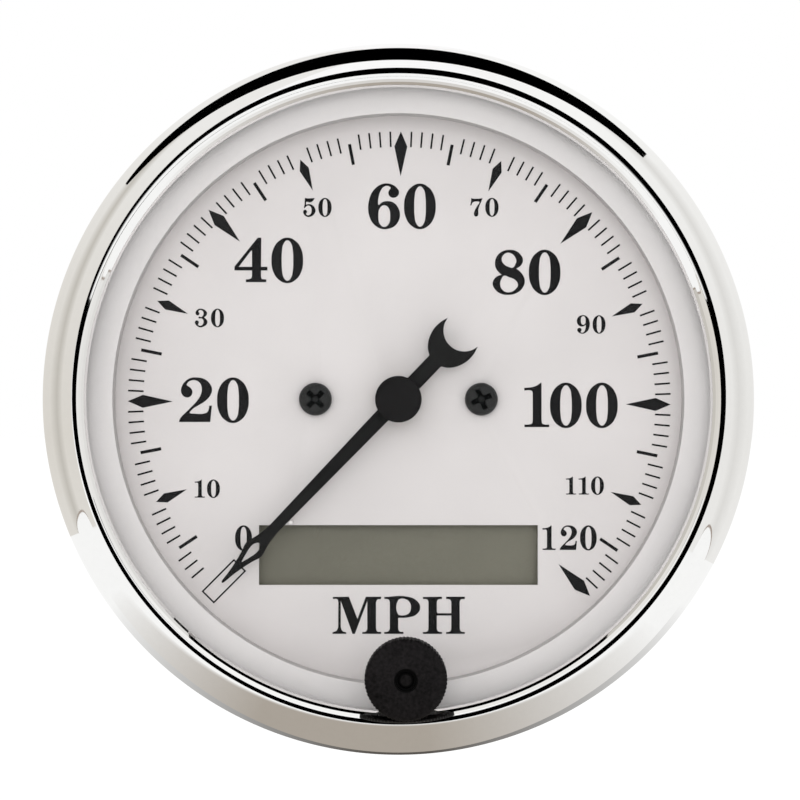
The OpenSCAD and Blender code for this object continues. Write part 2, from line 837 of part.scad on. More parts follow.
// Plate behind the board that carries the former and the can
module movement_plate() {
  color("darkgray") gauge() difference() {
    union() {
      bar(plate_r, plate_back, board_back);
      bar(can_in_r - fit_screw, coil_front, plate_back);
    }
    bar(neck_r + fit_screw, coil_front - cut, board_back + cut);
    both_sides(dial_screw_pitch) {
      bar(dial_screw_d / 2 + fit_screw, board_back - dial_screw_hole, board_back + cut);
    }
  }
}

// Half of the coil former, from the rotor's middle to its neck's end
module bobbin_half(outer_face, neck_end) {
  low = min(rotor_z, outer_face);
  high = max(rotor_z, outer_face);
  difference() {
    union() {
      block(2 * bobbin_side, 2 * bobbin_side, low, high);
      bar(neck_r, min(neck_end, outer_face), max(neck_end, outer_face));
    }
    bar(chamber_r, rotor_z - rotor_h / 2 - fit_move, rotor_z + rotor_h / 2 + fit_move);
    bar(bush_r + fit_press, min(neck_end, low) - cut, max(neck_end, high) + cut);
  }
}

// Front half of the former, whose neck passes through the movement's plate
module bobbin_front() {
  color("ivory") gauge() bobbin_half(bobbin_top, board_back);
}

// Rear half of the former, whose neck stands on the can's floor
module bobbin_rear() {
  color("ivory") gauge() bobbin_half(bobbin_bottom, coil_rear);
}

// Two loops of a winding, one on each side of the spindle, around an opening of a half height
module winding(half_h) {
  for (side = [-1, 1]) {
    translate([0, side * (coil_in + coil_out) / 2, 0]) difference() {
      block(2 * (bobbin_side + coil_t), coil_w, rotor_z - half_h - coil_t, rotor_z + half_h + coil_t);
      block(2 * bobbin_side, coil_w + cut, rotor_z - half_h, rotor_z + half_h);
    }
  }
}

// Winding next to the former
module inner_coil() {
  color("peru") gauge() winding(bobbin_half_h);
}

// Winding across the first one, at a right angle
module outer_coil() {
  color("chocolate") gauge() rotate([0, 0, 90]) winding(bobbin_half_h + coil_t);
}

// Steel cup around the windings
module flux_can() {
  color("silver") gauge() difference() {
    bar(can_in_r + can_wall, coil_rear - can_wall, plate_back);
    bar(can_in_r, coil_rear, plate_back + cut);
  }
}

// Bearing of the spindle in the former's front neck
module front_bush() {
  color("goldenrod") gauge() {
    tube(bush_r, spindle_r + fit_run, rotor_z + rotor_h / 2 + fit_move, board_back);
  }
}

// Closed bearing of the spindle in the former's rear neck
module rear_bush() {
  color("goldenrod") gauge() difference() {
    bar(bush_r, coil_rear, rotor_z - rotor_h / 2 - fit_move);
    bar(spindle_r + fit_run, coil_rear + bush_floor, rotor_z);
  }
}

// White tube between the case's floor and the dial, with a shelf for the board
module light_tube() {
  color("white") gauge() difference() {
    union() {
      difference() {
        round_disc(tube_r, dial_back, case_floor, case_corner_r - case_wall);
        bar(tube_in_r, case_floor - cut, dial_back + cut);
      }
      tube(tube_in_r + tube_wall / 2, tube_in_r - shelf_w, board_back - shelf_t, board_back);
    }
    at_board_screws() bar(board_screw_d / 2 + fit_screw, board_back - shelf_t - cut, board_back + cut);
  }
}

// Round board with a straight top edge that lets the lamp's light past
module main_board() {
  color("darkgreen") gauge() difference() {
    bar(board_r, board_back, board_front);
    translate([0, board_top + board_r, 0]) {
      block(2 * board_r, 2 * board_r, board_back - cut, board_front + cut);
    }
    bar(neck_r, board_back - cut, board_front + cut);
    both_sides(dial_screw_pitch) {
      bar(dial_screw_d / 2 + fit_slip / 2, board_back - cut, board_front + cut);
    }
    at_board_screws() bar(board_screw_d / 2 + fit_slip / 2, board_back - cut, board_front + cut);
  }
}

// Four screws that hold the board on the shelf
module board_screws() {
  color("silver") gauge() at_board_screws() {
    screw(
      board_screw_d / 2, board_screw_head_d / 2, board_screw_head_h, board_front,
      board_t + board_screw_grip, 0
    );
  }
}

// Square controller on the board's rear face
module controller_chip() {
  color([0.1, 0.1, 0.1]) gauge() translate([chip_x, 0, 0]) {
    block(chip_w, chip_w, board_back - chip_h, board_back);
  }
}

// Clock crystal below the controller
module crystal() {
  color("silver") gauge() translate([chip_x, crystal_y, 0]) {
    block(crystal_l, crystal_w, board_back - crystal_h, board_back);
  }
}

// Two round capacitors beside the movement
module capacitors() {
  color("midnightblue") gauge() {
    for (i = [0, 1]) {
      translate([capacitor_x, -i * (capacitor_d + part_gap), 0]) {
        bar(capacitor_d / 2, board_back - capacitor_h, board_back);
      }
    }
  }
}

// Upright regulator above the controller
module voltage_regulator() {
  color([0.15, 0.15, 0.15]) gauge() translate([regulator_x, regulator_y, 0]) {
    block(regulator_w, regulator_t, board_back - regulator_h, board_back);
  }
}

// Draws its child behind the display window
module at_display() {
  translate([0, -window_drop, 0]) children();
}

// Display panel
module lcd_glass() {
  color([0.47, 0.47, 0.43]) gauge() at_display() block(lcd_w, lcd_h, lcd_back, lcd_front);
}

// Frame that holds the display panel off the board
module lcd_frame() {
  color([0.2, 0.2, 0.2]) gauge() at_display() difference() {
    block(lcd_bay_w + 2 * lcd_wall, lcd_bay_h + 2 * lcd_wall, board_front, dial_back);
    block(lcd_bay_w, lcd_bay_h, board_front - cut, lcd_front);
    block(lcd_w - 2 * lcd_lip_w, lcd_h - 2 * lcd_lip_w, lcd_front - cut, dial_back + cut);
  }
}

// Two rubber strips that carry the display's contacts to the board
module contact_strips() {
  color("dimgray") gauge() at_display() {
    for (side = [-1, 1]) {
      translate([0, side * (lcd_h - strip_t) / 2, 0]) block(lcd_w, strip_t, board_front, lcd_back);
    }
  }
}

// Light guide behind the display panel
module lcd_backlight() {
  color("honeydew") gauge() at_display() {
    block(lcd_w, lcd_h - 2 * strip_t - 2 * fit_slip, board_front, lcd_back);
  }
}

// Body of the switch under the trip button
module push_switch() {
  color([0.15, 0.15, 0.15]) gauge() at_button() difference() {
    block(switch_w, switch_w, board_front, board_front + switch_h);
    bar(plunger_d / 2 + fit_screw, board_front + switch_h - plunger_well, board_front + switch_h + cut);
  }
}

// Plunger of the switch, which the rod's end presses
module switch_plunger() {
  color("firebrick") gauge() at_button() {
    bar(plunger_d / 2, board_front + switch_h - plunger_in, plunger_front);
  }
}

// Rod from the knob through the glass and the dial to the switch
module button_rod() {
  color("silver") gauge() at_button() bar(rod_r, plunger_front, rod_front);
}

// Round knob with a hole in its face and room for the spring behind
module button_knob() {
  color([0.1, 0.1, 0.1]) gauge() at_button() difference() {
    round_disc(knob_r, knob_back, knob_front, knob_edge_r);
    bar(knob_bore_r, knob_back - cut, knob_bore_top);
    bar(rod_r + fit_press, knob_back, knob_front);
    bar(knob_hole_d / 2, rod_front, knob_front + cut);
  }
}

// Point on the button spring's wire, at a ring along it and a side around it
function spring_point(ring, side) =
  let (
    share = ring / (button_spring_turns * spring_rings),
    angle = 360 * button_spring_turns * share,
    around = 360 * side / spring_sides,
    reach = spring_mid_r + spring_wire_r * cos(around),
    low = lens_bush_front + spring_wire_r,
    high = knob_bore_top - spring_wire_r
  )
  [reach * cos(angle), reach * sin(angle), low + (high - low) * share + spring_wire_r * sin(around)];

// Coil spring between the bush and the knob
module button_spring() {
  rings = button_spring_turns * spring_rings;
  points = [
    for (ring = [0 : rings]) for (side = [0 : spring_sides - 1]) spring_point(ring, side)
  ];
  walls = [
    for (ring = [0 : rings - 1]) for (side = [0 : spring_sides - 1])
      let (
        a = ring * spring_sides + side,
        b = ring * spring_sides + (side + 1) % spring_sides
      )
      each [[a, a + spring_sides, b], [b, a + spring_sides, b + spring_sides]]
  ];
  last = rings * spring_sides;
  ends = [
    for (side = [1 : spring_sides - 2])
      each [[0, side, side + 1], [last, last + side + 1, last + side]]
  ];
  color("silver") gauge() at_button() polyhedron(points, concat(walls, ends));
}

// Bush in the glass that guides the rod and hides the spring
module button_bush() {
  color([0.1, 0.1, 0.1]) gauge() at_button() difference() {
    union() {
      bar(lens_bush_r, lens_bush_rear, lens_front);
      bar(lens_bush_r + lens_bush_lip_w, lens_bush_rear, lens_back);
      bar(lens_bush_flange_d / 2, lens_front, lens_bush_front);
      bar(collar_r, lens_bush_front, collar_front);
    }
    bar(rod_r + fit_run, lens_bush_rear - cut, collar_front + cut);
    bar(collar_in_r, lens_bush_front, collar_front + cut);
  }
}

// Clip on the rod that stops it at the bush
module rod_clip() {
  color("dimgray") gauge() at_button() {
    tube(rod_clip_d / 2, rod_r + fit_press, rod_clip_front - rod_clip_t, rod_clip_front);
  }
}

// Twist-in holder of the dial lamp
module lamp_holder() {
  color([0.85, 0.85, 0.8]) gauge() at_lamp() difference() {
    union() {
      bar(lamp_r, -case_depth, lamp_front);
      bar(lamp_flange_d / 2, lamp_flange_rear, -case_depth);
      block(lamp_grip_l, lamp_grip_w, lamp_grip_rear, lamp_flange_rear);
      intersection() {
        block(
          2 * lamp_lug_r, lamp_lug_w, case_floor + fit_slip, case_floor + fit_slip + lamp_lug_t
        );
        bar(lamp_lug_r, case_floor, lamp_front);
      }
    }
    bar(bulb_stem_d / 2 + fit_slip, lamp_front - bulb_stem_l, lamp_front + cut);
    both_sides(lamp_blade_pitch) {
      block(
        blade_t + 2 * fit_press, lamp_blade_w + 2 * fit_press, lamp_grip_rear - cut,
        lamp_grip_rear + lamp_blade_in
      );
    }
  }
}

// Glass bulb with a round end
module lamp_bulb() {
  color([1, 0.95, 0.8]) gauge() at_lamp() {
    bar(bulb_stem_d / 2, lamp_front - bulb_stem_l, lamp_front);
    round_disc(bulb_d / 2, lamp_front, lamp_front + bulb_l, bulb_d / 2 - fit_press);
  }
}

// Two contact blades of the lamp holder
module lamp_contacts() {
  color("goldenrod") gauge() at_lamp() both_sides(lamp_blade_pitch) {
    block(blade_t, lamp_blade_w, lamp_grip_rear - lamp_blade_l, lamp_grip_rear + lamp_blade_in);
  }
}

// Block that carries the terminals through the case's rear
module terminal_block() {
  color([0.12, 0.12, 0.12]) gauge() difference() {
    translate([0, -block_drop, 0]) {
      block(block_body_w, block_body_h, -case_depth, block_front);
      block(block_flange_w, block_flange_h, block_rear, -case_depth);
    }
    at_blades() {
      block(blade_w + 2 * fit_press, blade_t + 2 * fit_press, block_rear - cut, block_front + cut);
    }
    translate([0, -block_drop, 0]) both_sides(rivet_pitch) {
      bar(rivet_d / 2 + fit_screw, block_rear - cut, -case_depth + cut);
    }
  }
}

// Terminal blades
module blade_terminals() {
  color("goldenrod") gauge() at_blades() block(blade_w, blade_t, block_rear - blade_out, tail_end);
}

// Two rivets through the block's flange and the case
module block_rivets() {
  color("silver") gauge() translate([0, -block_drop, 0]) both_sides(rivet_pitch) {
    bar(rivet_d / 2, block_rear, case_floor);
    round_disc(rivet_head_r, case_floor, case_floor + rivet_head_h, rivet_edge_r);
    round_disc(rivet_head_r, block_rear, block_rear - rivet_head_h, rivet_edge_r);
  }
}

// Stiff leads from the terminals' tails to the board
module board_leads() {
  color("firebrick") gauge() at_blades() bar(lead_d / 2, tail_end, board_back);
}

// Two studs with their heads inside the case, drawn at the thread's root as far as the nuts reach
module mounting_studs() {
  color("lightgray") gauge() both_sides(stud_pitch) {
    bar(stud_r, -case_depth - stud_l, nut_rear);
    bar(stud_root_r, nut_rear, case_floor);
    round_disc(stud_head_d / 2, case_floor, case_floor + stud_head_t, stud_head_edge_r);
  }
}

// Washers behind the case
module stud_washers() {
  color("silver") gauge() both_sides(stud_pitch) {
    tube(washer_d / 2, stud_r + fit_slip, -case_depth - washer_t, -case_depth);
  }
}

// Nuts that hold the studs in the case
module stud_nuts() {
  color("silver") gauge() both_sides(stud_pitch) difference() {
    translate([0, 0, nut_rear]) cylinder(r = nut_w / sqrt(3), h = nut_t, $fn = 6);
    bar(stud_root_r + fit_press, nut_rear - cut, nut_rear + nut_t + cut);
  }
}

case();
bezel();
lens();
lens_gasket();
spacer_ring();
dial();
dial_screws();
dial_spacers();
zero_stop();
pointer();
pointer_cap();
pointer_bush();
spindle();
rotor_magnet();
hairspring();
hairspring_collet();
hairspring_stud();
movement_plate();
bobbin_front();
bobbin_rear();
inner_coil();
outer_coil();
flux_can();
front_bush();
rear_bush();
light_tube();
main_board();
board_screws();
controller_chip();
crystal();
capacitors();
voltage_regulator();
lcd_glass();
lcd_frame();
contact_strips();
lcd_backlight();
push_switch();
switch_plunger();
button_rod();
button_knob();
button_spring();
button_bush();
rod_clip();
lamp_holder();
lamp_bulb();
lamp_contacts();
terminal_block();
blade_terminals();
block_rivets();
board_leads();
mounting_studs();
stud_washers();
stud_nuts();
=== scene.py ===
"""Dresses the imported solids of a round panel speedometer.

Pieces are drawn in the gauge's own frame in millimetres, x to the right, y up and z towards the
viewer, and GAUGE carries them into the row frame in metres.
"""

import logging
import math
from collections.abc import Callable
from dataclasses import dataclass, field
from enum import Enum
from typing import ClassVar

import bmesh
import bpy
from mathutils import Matrix, Vector


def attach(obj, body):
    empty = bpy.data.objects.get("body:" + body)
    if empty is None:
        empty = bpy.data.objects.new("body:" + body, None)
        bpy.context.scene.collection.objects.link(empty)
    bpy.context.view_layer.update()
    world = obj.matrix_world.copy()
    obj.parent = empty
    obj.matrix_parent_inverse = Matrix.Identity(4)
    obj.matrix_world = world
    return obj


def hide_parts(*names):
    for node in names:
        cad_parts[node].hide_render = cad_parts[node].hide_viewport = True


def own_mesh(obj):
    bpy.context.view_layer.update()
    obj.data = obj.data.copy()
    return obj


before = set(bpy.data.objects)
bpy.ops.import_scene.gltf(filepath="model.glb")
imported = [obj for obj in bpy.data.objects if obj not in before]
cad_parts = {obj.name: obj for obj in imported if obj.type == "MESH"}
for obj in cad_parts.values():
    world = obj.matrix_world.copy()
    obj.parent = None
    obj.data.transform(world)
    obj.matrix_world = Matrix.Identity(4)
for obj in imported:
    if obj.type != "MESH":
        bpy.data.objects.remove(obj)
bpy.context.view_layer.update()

LOG = logging.getLogger("speedometer")

Pair = tuple[float, float]
Triple = tuple[float, float, float]
Quad = tuple[float, float, float, float]
Mesh = bmesh.types.BMesh
Vert = bmesh.types.BMVert
Edge = bmesh.types.BMEdge
Face = bmesh.types.BMFace
Curve = bpy.types.Curve
Piece = bpy.types.Object
Socket = bpy.types.NodeSocket
Inputs = dict[str | int, object]

MM = 0.001
GAUGE = Matrix.Rotation(math.radians(90.0), 4, "X") @ Matrix.Scale(MM, 4)
WELD_M = 1e-6
WELD_MM = 1e-3
FLAT = math.radians(0.5)
HARD = math.radians(30.0)
CREASE = math.radians(35.0)
SIDEWAYS = 0.5
BUTTON_AT = (0.9, -33.2)

SHADER = "Principled BSDF"
GRAIN_DETAIL = 2.0
DRIFT_DETAIL = 3.0
TINT_SPAN = (0.32, 0.68)
GLOSS_SPAN = (0.3, 0.7)


class Shading:
    """Node tree of a new material or world, which grows node by node."""

    def __init__(self, block: bpy.types.Material | bpy.types.World) -> None:
        """Starts the tree of a material or world."""
        block.use_nodes = True
        self.tree = block.node_tree

    def feed(self, name: str, inputs: Inputs) -> None:
        """Sets a node's inputs.

        Args:
            name: The node's name.
            inputs: For each input its value, or the socket that feeds it.
        """
        node = self.tree.nodes[name]
        for key, value in inputs.items():
            if isinstance(value, Socket):
                self.tree.links.new(value, node.inputs[key])
            else:
                node.inputs[key].default_value = value

    def add(self, kind: str, inputs: Inputs, out: str | int = 0, **options: str) -> Socket:
        """Adds a node.

        Args:
            kind: The node's kind.
            inputs: For each input its value, or the socket that feeds it.
            out: The output to go on from.
            options: The node's own options, such as its operation.

        Returns:
            The output's socket.
        """
        node = self.tree.nodes.new(kind)
        for option, value in options.items():
            setattr(node, option, value)
        self.feed(node.name, inputs)
        return node.outputs[out]

    def place(self) -> Socket:
        """Gives the place on the piece, as Object coordinates."""
        return self.add("ShaderNodeTexCoord", {}, "Object")

    def maths(self, operation: str, *values: Socket | float) -> Socket:
        """Works out a result from values."""
        return self.add("ShaderNodeMath", dict(enumerate(values)), operation=operation)

    def ramp(self, value: Socket, span: Pair, onto: Pair = (0.0, 1.0)) -> Socket:
        """Maps a span of values onto another."""
        ends = zip(("From Min", "From Max", "To Min", "To Max"), (*span, *onto))
        return self.add("ShaderNodeMapRange", {"Value": value, **dict(ends)})

    def mix(self, share: Socket, first: Socket | Quad, second: Quad) -> Socket:
        """Mixes two colours. They are inputs 6 and 7 of the node, and the result is output 2."""
        inputs = {0: share, 6: first, 7: second}
        return self.add("ShaderNodeMix", inputs, 2, data_type="RGBA")


class Grain(Enum):
    """How a finish's fine pattern is stretched along the row's three axes."""

    EVEN = (1.0, 1.0, 1.0)
    ALONG_DEPTH = (1.0, 0.04, 1.0)
    ALONG_WIDTH = (0.04, 1.0, 1.0)


@dataclass(frozen=True)
class Finish:
    """A surface: two near colours, its gloss, and the grain that breaks both up."""

    title: str
    colour: Triple
    drift: Triple
    rough: Pair = (0.4, 0.5)
    metallic: float = 0.0
    specular: float = 0.5
    alpha: float = 1.0
    grain: Grain = Grain.EVEN
    grain_mm: float = 0.25
    drift_mm: float = 9.0
    relief_mm: float = 0.003

    def material(self) -> bpy.types.Material:
        """Returns the finish's material, made at its first use."""
        return bpy.data.materials.get(self.title) or self.make()

    def make(self) -> bpy.types.Material:
        """Builds the node tree.

        Returns:
            The new material.
        """
        material = bpy.data.materials.new(self.title)
        shade = Shading(material)
        grain = self.noise(shade, self.grain.value, self.grain_mm, GRAIN_DETAIL)
        drift = self.noise(shade, Grain.EVEN.value, self.drift_mm, DRIFT_DETAIL)
        half = shade.maths("MULTIPLY", drift, 0.5)
        tint = shade.maths("MULTIPLY_ADD", grain, 0.5, half)
        shade.feed(SHADER, {
            "Base Color": shade.mix(
                shade.ramp(tint, TINT_SPAN), (*self.colour, 1.0), (*self.drift, 1.0)
            ),
            "Metallic": self.metallic,
            "Roughness": shade.ramp(drift, GLOSS_SPAN, self.rough),
            "Specular IOR Level": self.specular,
            "Alpha": self.alpha,
            "Normal": shade.add(
                "ShaderNodeBump", {"Height": grain, "Distance": self.relief_mm * MM}
            ),
        })
        return material

    @staticmethod
    def noise(shade: Shading, stretch: Triple, size_mm: float, detail: float) -> Socket:
        """Adds noise on Object coordinates.

        Args:
            shade: The material's node tree.
            stretch: Scale along each axis.
            size_mm: Size of a patch.
            detail: Octaves of finer noise.

        Returns:
            The noise's value socket.
        """
        mapped = shade.add("ShaderNodeMapping", {"Vector": shade.place(), "Scale": stretch})
        inputs = {"Vector": mapped, "Scale": 1.0 / (size_mm * MM), "Detail": detail}
        return shade.add("ShaderNodeTexNoise", inputs)


CHROME = Finish(
    "polished_chrome", (0.955, 0.955, 0.95), (0.93, 0.93, 0.925), (0.012, 0.04), 1.0,
    grain_mm=0.8, drift_mm=14.0, relief_mm=0.000004,
)
ENAMEL = Finish(
    "black_enamel", (0.028, 0.028, 0.03), (0.022, 0.022, 0.024), (0.37, 0.42),
    grain_mm=0.6, drift_mm=24.0, relief_mm=0.004,
)
DIAL_PAINT = Finish(
    "warm_white_paint", (0.82, 0.784, 0.776), (0.755, 0.722, 0.714), (0.5, 0.65), 0.0, 0.25,
    grain_mm=0.18, drift_mm=12.0, relief_mm=0.002,
)
RING_WHITE = Finish(
    "warm_white_moulding", (0.815, 0.786, 0.778), (0.775, 0.748, 0.74), (0.45, 0.6), 0.0, 0.3,
    grain_mm=0.3, drift_mm=16.0,
)
# Grey for the trim ring's bore: painted shade, darkening the dial's edge next to the ring.
BORE_PAINTED_SHADE = Finish("bore_painted_shade", (0.53, 0.512, 0.506), (0.48, 0.464, 0.459), (0.5, 0.65))
TUBE_WHITE = Finish("matte_white_moulding", (0.8, 0.8, 0.78), (0.75, 0.75, 0.72), (0.6, 0.7))
INK = Finish(
    "printing_ink", (0.006, 0.0055, 0.006), (0.010, 0.009, 0.010), (0.5, 0.65), 0.0, 0.1,
    grain_mm=0.1, relief_mm=0.001,
)
POINTER_BLACK = Finish(
    "pointer_matte_black", (0.006, 0.0055, 0.0055), (0.010, 0.009, 0.009), (0.5, 0.65), 0.0, 0.1,
    grain_mm=0.15, relief_mm=0.002,
)
CAP_BLACK = Finish(
    "cap_matte_black", (0.0005, 0.0004, 0.0004), (0.0115, 0.0098, 0.0104), (0.5, 0.62), 0.0, 0.12,
    grain_mm=0.35, relief_mm=0.012,
)
KNOB_BLACK = Finish(
    "knob_fine_grain", (0.0002, 0.0002, 0.0002), (0.0135, 0.0115, 0.0123), (0.5, 0.6), 0.0, 0.1,
    grain_mm=0.4, relief_mm=0.04,
)
SCREW_BLACK = Finish(
    "black_oxide", (0.013, 0.013, 0.013), (0.022, 0.022, 0.022), (0.35, 0.5), 0.0, 0.33,
    grain_mm=0.15,
)
# Near black for recesses and holes: painted shade, darker than the parts around them.
RECESS_PAINTED_SHADE = Finish(
    "recess_painted_shade", (0.002, 0.002, 0.002), (0.004, 0.004, 0.004), (0.6, 0.75), 0.0, 0.05,
    grain_mm=0.15,
)
RUBBER = Finish("seal_rubber_black", (0.03, 0.03, 0.03), (0.022, 0.022, 0.022), (0.7, 0.85))
GROUND_EDGE = Finish("ground_glass_edge", (0.78, 0.84, 0.81), (0.7, 0.77, 0.74), (0.5, 0.65))
LENS_GLASS = Finish(
    "clear_glass", (0.05, 0.058, 0.058), (0.045, 0.052, 0.052), (0.015, 0.03), 0.0, 0.9, 0.045,
    grain_mm=2.0, drift_mm=30.0, relief_mm=0.0001,
)
DISPLAY = Finish(
    "grey_green_display", (0.217, 0.21, 0.165), (0.168, 0.163, 0.127), (0.3, 0.4), 0.0, 0.2,
    grain_mm=0.3, drift_mm=14.0, relief_mm=0.0005,
)
BULB_GLASS = Finish(
    "lamp_glass", (0.9, 0.9, 0.87), (0.85, 0.85, 0.82), (0.02, 0.05), 0.0, 0.7, 0.35,
    grain_mm=1.5, relief_mm=0.001,
)
BRASS = Finish(
    "turned_brass", (0.78, 0.6, 0.3), (0.7, 0.52, 0.24), (0.22, 0.36), 1.0,
    grain=Grain.ALONG_WIDTH, grain_mm=0.08, relief_mm=0.001,
)
STEEL = Finish(
    "bright_plate", (0.56, 0.56, 0.57), (0.5, 0.5, 0.5), (0.2, 0.34), 1.0,
    grain=Grain.ALONG_DEPTH, grain_mm=0.1, relief_mm=0.001,
)
SINTER = Finish("sintered_magnet", (0.1, 0.1, 0.11), (0.07, 0.07, 0.08), (0.5, 0.7), 1.0)
ALLOY = Finish(
    "plain_alloy", (0.6, 0.6, 0.61), (0.54, 0.54, 0.55), (0.3, 0.42), 1.0,
    grain=Grain.ALONG_WIDTH, grain_mm=0.1, relief_mm=0.001,
)
NYLON = Finish("natural_nylon", (0.75, 0.72, 0.6), (0.7, 0.66, 0.54), (0.4, 0.55))
HOLDER_NYLON = Finish(
    "moulded_nylon", (0.75, 0.74, 0.68), (0.69, 0.68, 0.61), (0.38, 0.52), grain_mm=0.3,
)
WINDING = Finish(
    "enamelled_copper", (0.55, 0.22, 0.1), (0.4, 0.14, 0.06), (0.2, 0.34), 1.0,
    grain=Grain.ALONG_WIDTH, grain_mm=0.12, relief_mm=0.02,
)
BOARD = Finish("green_board", (0.02, 0.12, 0.05), (0.015, 0.095, 0.04), (0.25, 0.4), grain_mm=0.9)
MOULDING = Finish(
    "black_moulding", (0.022, 0.022, 0.022), (0.032, 0.032, 0.032), (0.4, 0.55), 0.0, 0.4,
    grain_mm=0.25, relief_mm=0.005,
)
SLEEVE = Finish("shrunk_sleeve", (0.02, 0.03, 0.1), (0.016, 0.024, 0.08), (0.18, 0.3))
PLUNGER_RED = Finish("red_moulding", (0.5, 0.05, 0.04), (0.42, 0.04, 0.03), (0.35, 0.5))
LEAD_RED = Finish("red_insulation", (0.4, 0.03, 0.03), (0.34, 0.025, 0.025), (0.45, 0.6))


class Section:
    """A closed wire in the half plane of radius and height, which a full turn makes a ring."""

    def __init__(self, r: float, z: float) -> None:
        """Starts the wire at a radius and a height.

        Args:
            r: Radius of its first point.
            z: Height of its first point.
        """
        self.mesh = bmesh.new()
        self.first = self.mesh.verts.new((r, 0.0, z))
        self.last = self.first

    def lines(self, *ends: Pair) -> None:
        """Draws straight stretches to a radius and a height each.

        Args:
            ends: Radius and height of each stretch's end.
        """
        for r, z in ends:
            self.last = bmesh.ops.extrude_vert_indiv(self.mesh, verts=[self.last])["verts"][0]
            self.last.co = (r, 0.0, z)

    def arc(
        self, r: float, z: float, sweep: float, steps: int, stretch: Pair = (1.0, 1.0)
    ) -> None:
        """Draws an arc round a centre.

        Args:
            r: The centre's radius.
            z: The centre's height.
            sweep: Degrees, positive from the radius towards the height.
            steps: Number of straight pieces.
            stretch: Scale from the centre along the radius and the height, for an oval.
        """
        before = set(self.mesh.verts)
        spun = bmesh.ops.spin(
            self.mesh, geom=[self.last], cent=(r, 0.0, z), axis=(0.0, -1.0, 0.0),
            angle=math.radians(sweep), steps=steps,
        )
        bmesh.ops.scale(
            self.mesh, vec=(stretch[0], 1.0, stretch[1]), space=Matrix.Translation((-r, 0.0, -z)),
            verts=[v for v in self.mesh.verts if v not in before],
        )
        self.last = verts_in(spun["geom_last"])[0]

    def turned(self, steps: int) -> Mesh:
        """Closes the wire and turns it once round the axis.

        Args:
            steps: Number of facets round the ring.

        Returns:
            The ring's mesh.
        """
        self.mesh.edges.new((self.last, self.first))
        wind(self.mesh, steps)
        return mended(self.mesh)


def verts_in(geom: list[Vert | Edge | Face]) -> list[Vert]:
    """Picks the vertices out of an operator's geometry."""
    return [g for g in geom if isinstance(g, Vert)]


def whole(mesh: Mesh) -> list[Vert | Edge | Face]:
    """Lists all of a mesh's geometry."""
    return mesh.verts[:] + mesh.edges[:] + mesh.faces[:]


def wind(mesh: Mesh, steps: int, turns: int = 1, rise: float = 0.0) -> None:
    """Spins a mesh's wire round the z axis.

    Args:
        mesh: The mesh.
        steps: Number of steps in all.
        turns: Number of full turns.
        rise: Height of a step. Without it the last step joins the first.
    """
    bmesh.ops.spin(
        mesh, geom=whole(mesh), cent=(0.0, 0.0, 0.0), axis=(0.0, 0.0, 1.0),
        dvec=(0.0, 0.0, rise), angle=math.tau * turns, steps=steps, use_merge=not rise,
    )


def marked(mesh: Mesh, test: Callable[[Face], bool]) -> Mesh:
    """Gives the second finish to the faces that pass a test, and the first to the rest.

    Args:
        mesh: The mesh.
        test: Tells whether a face is marked.

    Returns:
        The same mesh.
    """
    mesh.normal_update()
    for face in mesh.faces:
        face.material_index = int(test(face))
    return mesh


def placed(name: str, mesh: Mesh) -> Piece:
    """Makes an object of a mesh.

    Args:
        name: The object's name.
        mesh: The mesh, which is freed.

    Returns:
        The object.
    """
    data = bpy.data.meshes.new(name)
    mesh.to_mesh(data)
    mesh.free()
    item = bpy.data.objects.new(name, data)
    bpy.context.scene.collection.objects.link(item)
    return item


def mended(mesh: Mesh) -> Mesh:
    """Merges a mesh's doubles and turns its faces outwards.

    Args:
        mesh: The mesh.

    Returns:
        The same mesh.
    """
    bmesh.ops.remove_doubles(mesh, verts=mesh.verts, dist=WELD_MM)
    bmesh.ops.recalc_face_normals(mesh, faces=mesh.faces)
    return mesh


def softened(node: str, edge_mm: float, segments: int = 2, taper_mm: float = 0.0) -> Mesh:
    """Copies a node's mesh and rounds its hard edges.

    Args:
        node: The node's name.
        edge_mm: Width of the rounding.
        segments: Steps across it.
        taper_mm: Width cut from the corners of the rear ends, for blades.

    Returns:
        The copy, in the row frame.
    """
    mesh = bmesh.new()
    mesh.from_mesh(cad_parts[node].data)
    for face in mesh.faces:
        face.material_index = 0
    bmesh.ops.remove_doubles(mesh, verts=mesh.verts, dist=WELD_M)
    bmesh.ops.dissolve_limit(mesh, angle_limit=FLAT, verts=mesh.verts, edges=mesh.edges)
    if taper_mm:
        rear = max(v.co.y for v in mesh.verts) - WELD_M
        tips = [
            e for e in mesh.edges
            if e.calc_length() < MM and all(v.co.y > rear for v in e.verts)
        ]
        rounded(mesh, tips, taper_mm, 1)
    rounded(mesh, hard_edges(mesh), edge_mm, segments)
    return mesh


def hard_edges(mesh: Mesh) -> list[Edge]:
    """Lists the edges that turn by more than HARD."""
    return [e for e in mesh.edges if e.is_manifold and e.calc_face_angle(0.0) > HARD]


def rounded(mesh: Mesh, edges: list[Edge], width_mm: float, segments: int) -> None:
    """Bevels edges of a mesh that is in metres.

    Args:
        mesh: The mesh.
        edges: Its edges to round.
        width_mm: The bevel's width.
        segments: Steps across it.
    """
    bmesh.ops.bevel(
        mesh, geom=edges, offset=width_mm * MM, offset_type="OFFSET", affect="EDGES",
        segments=segments, profile=0.5, clamp_overlap=True, material=-1,
    )


def solid_from(curve: Curve) -> Mesh:
    """Makes a filled flat curve a mesh.

    Args:
        curve: The curve, which is removed.

    Returns:
        The mesh, in the curve's own frame.
    """
    holder = bpy.data.objects.new(curve.name, curve)
    bpy.context.scene.collection.objects.link(holder)
    graph = bpy.context.evaluated_depsgraph_get()
    data = bpy.data.meshes.new_from_object(holder.evaluated_get(graph))
    mesh = bmesh.new()
    mesh.from_mesh(data)
    bpy.data.objects.remove(holder)
    bpy.data.curves.remove(curve)
    bpy.data.meshes.remove(data)
    return mended(mesh)


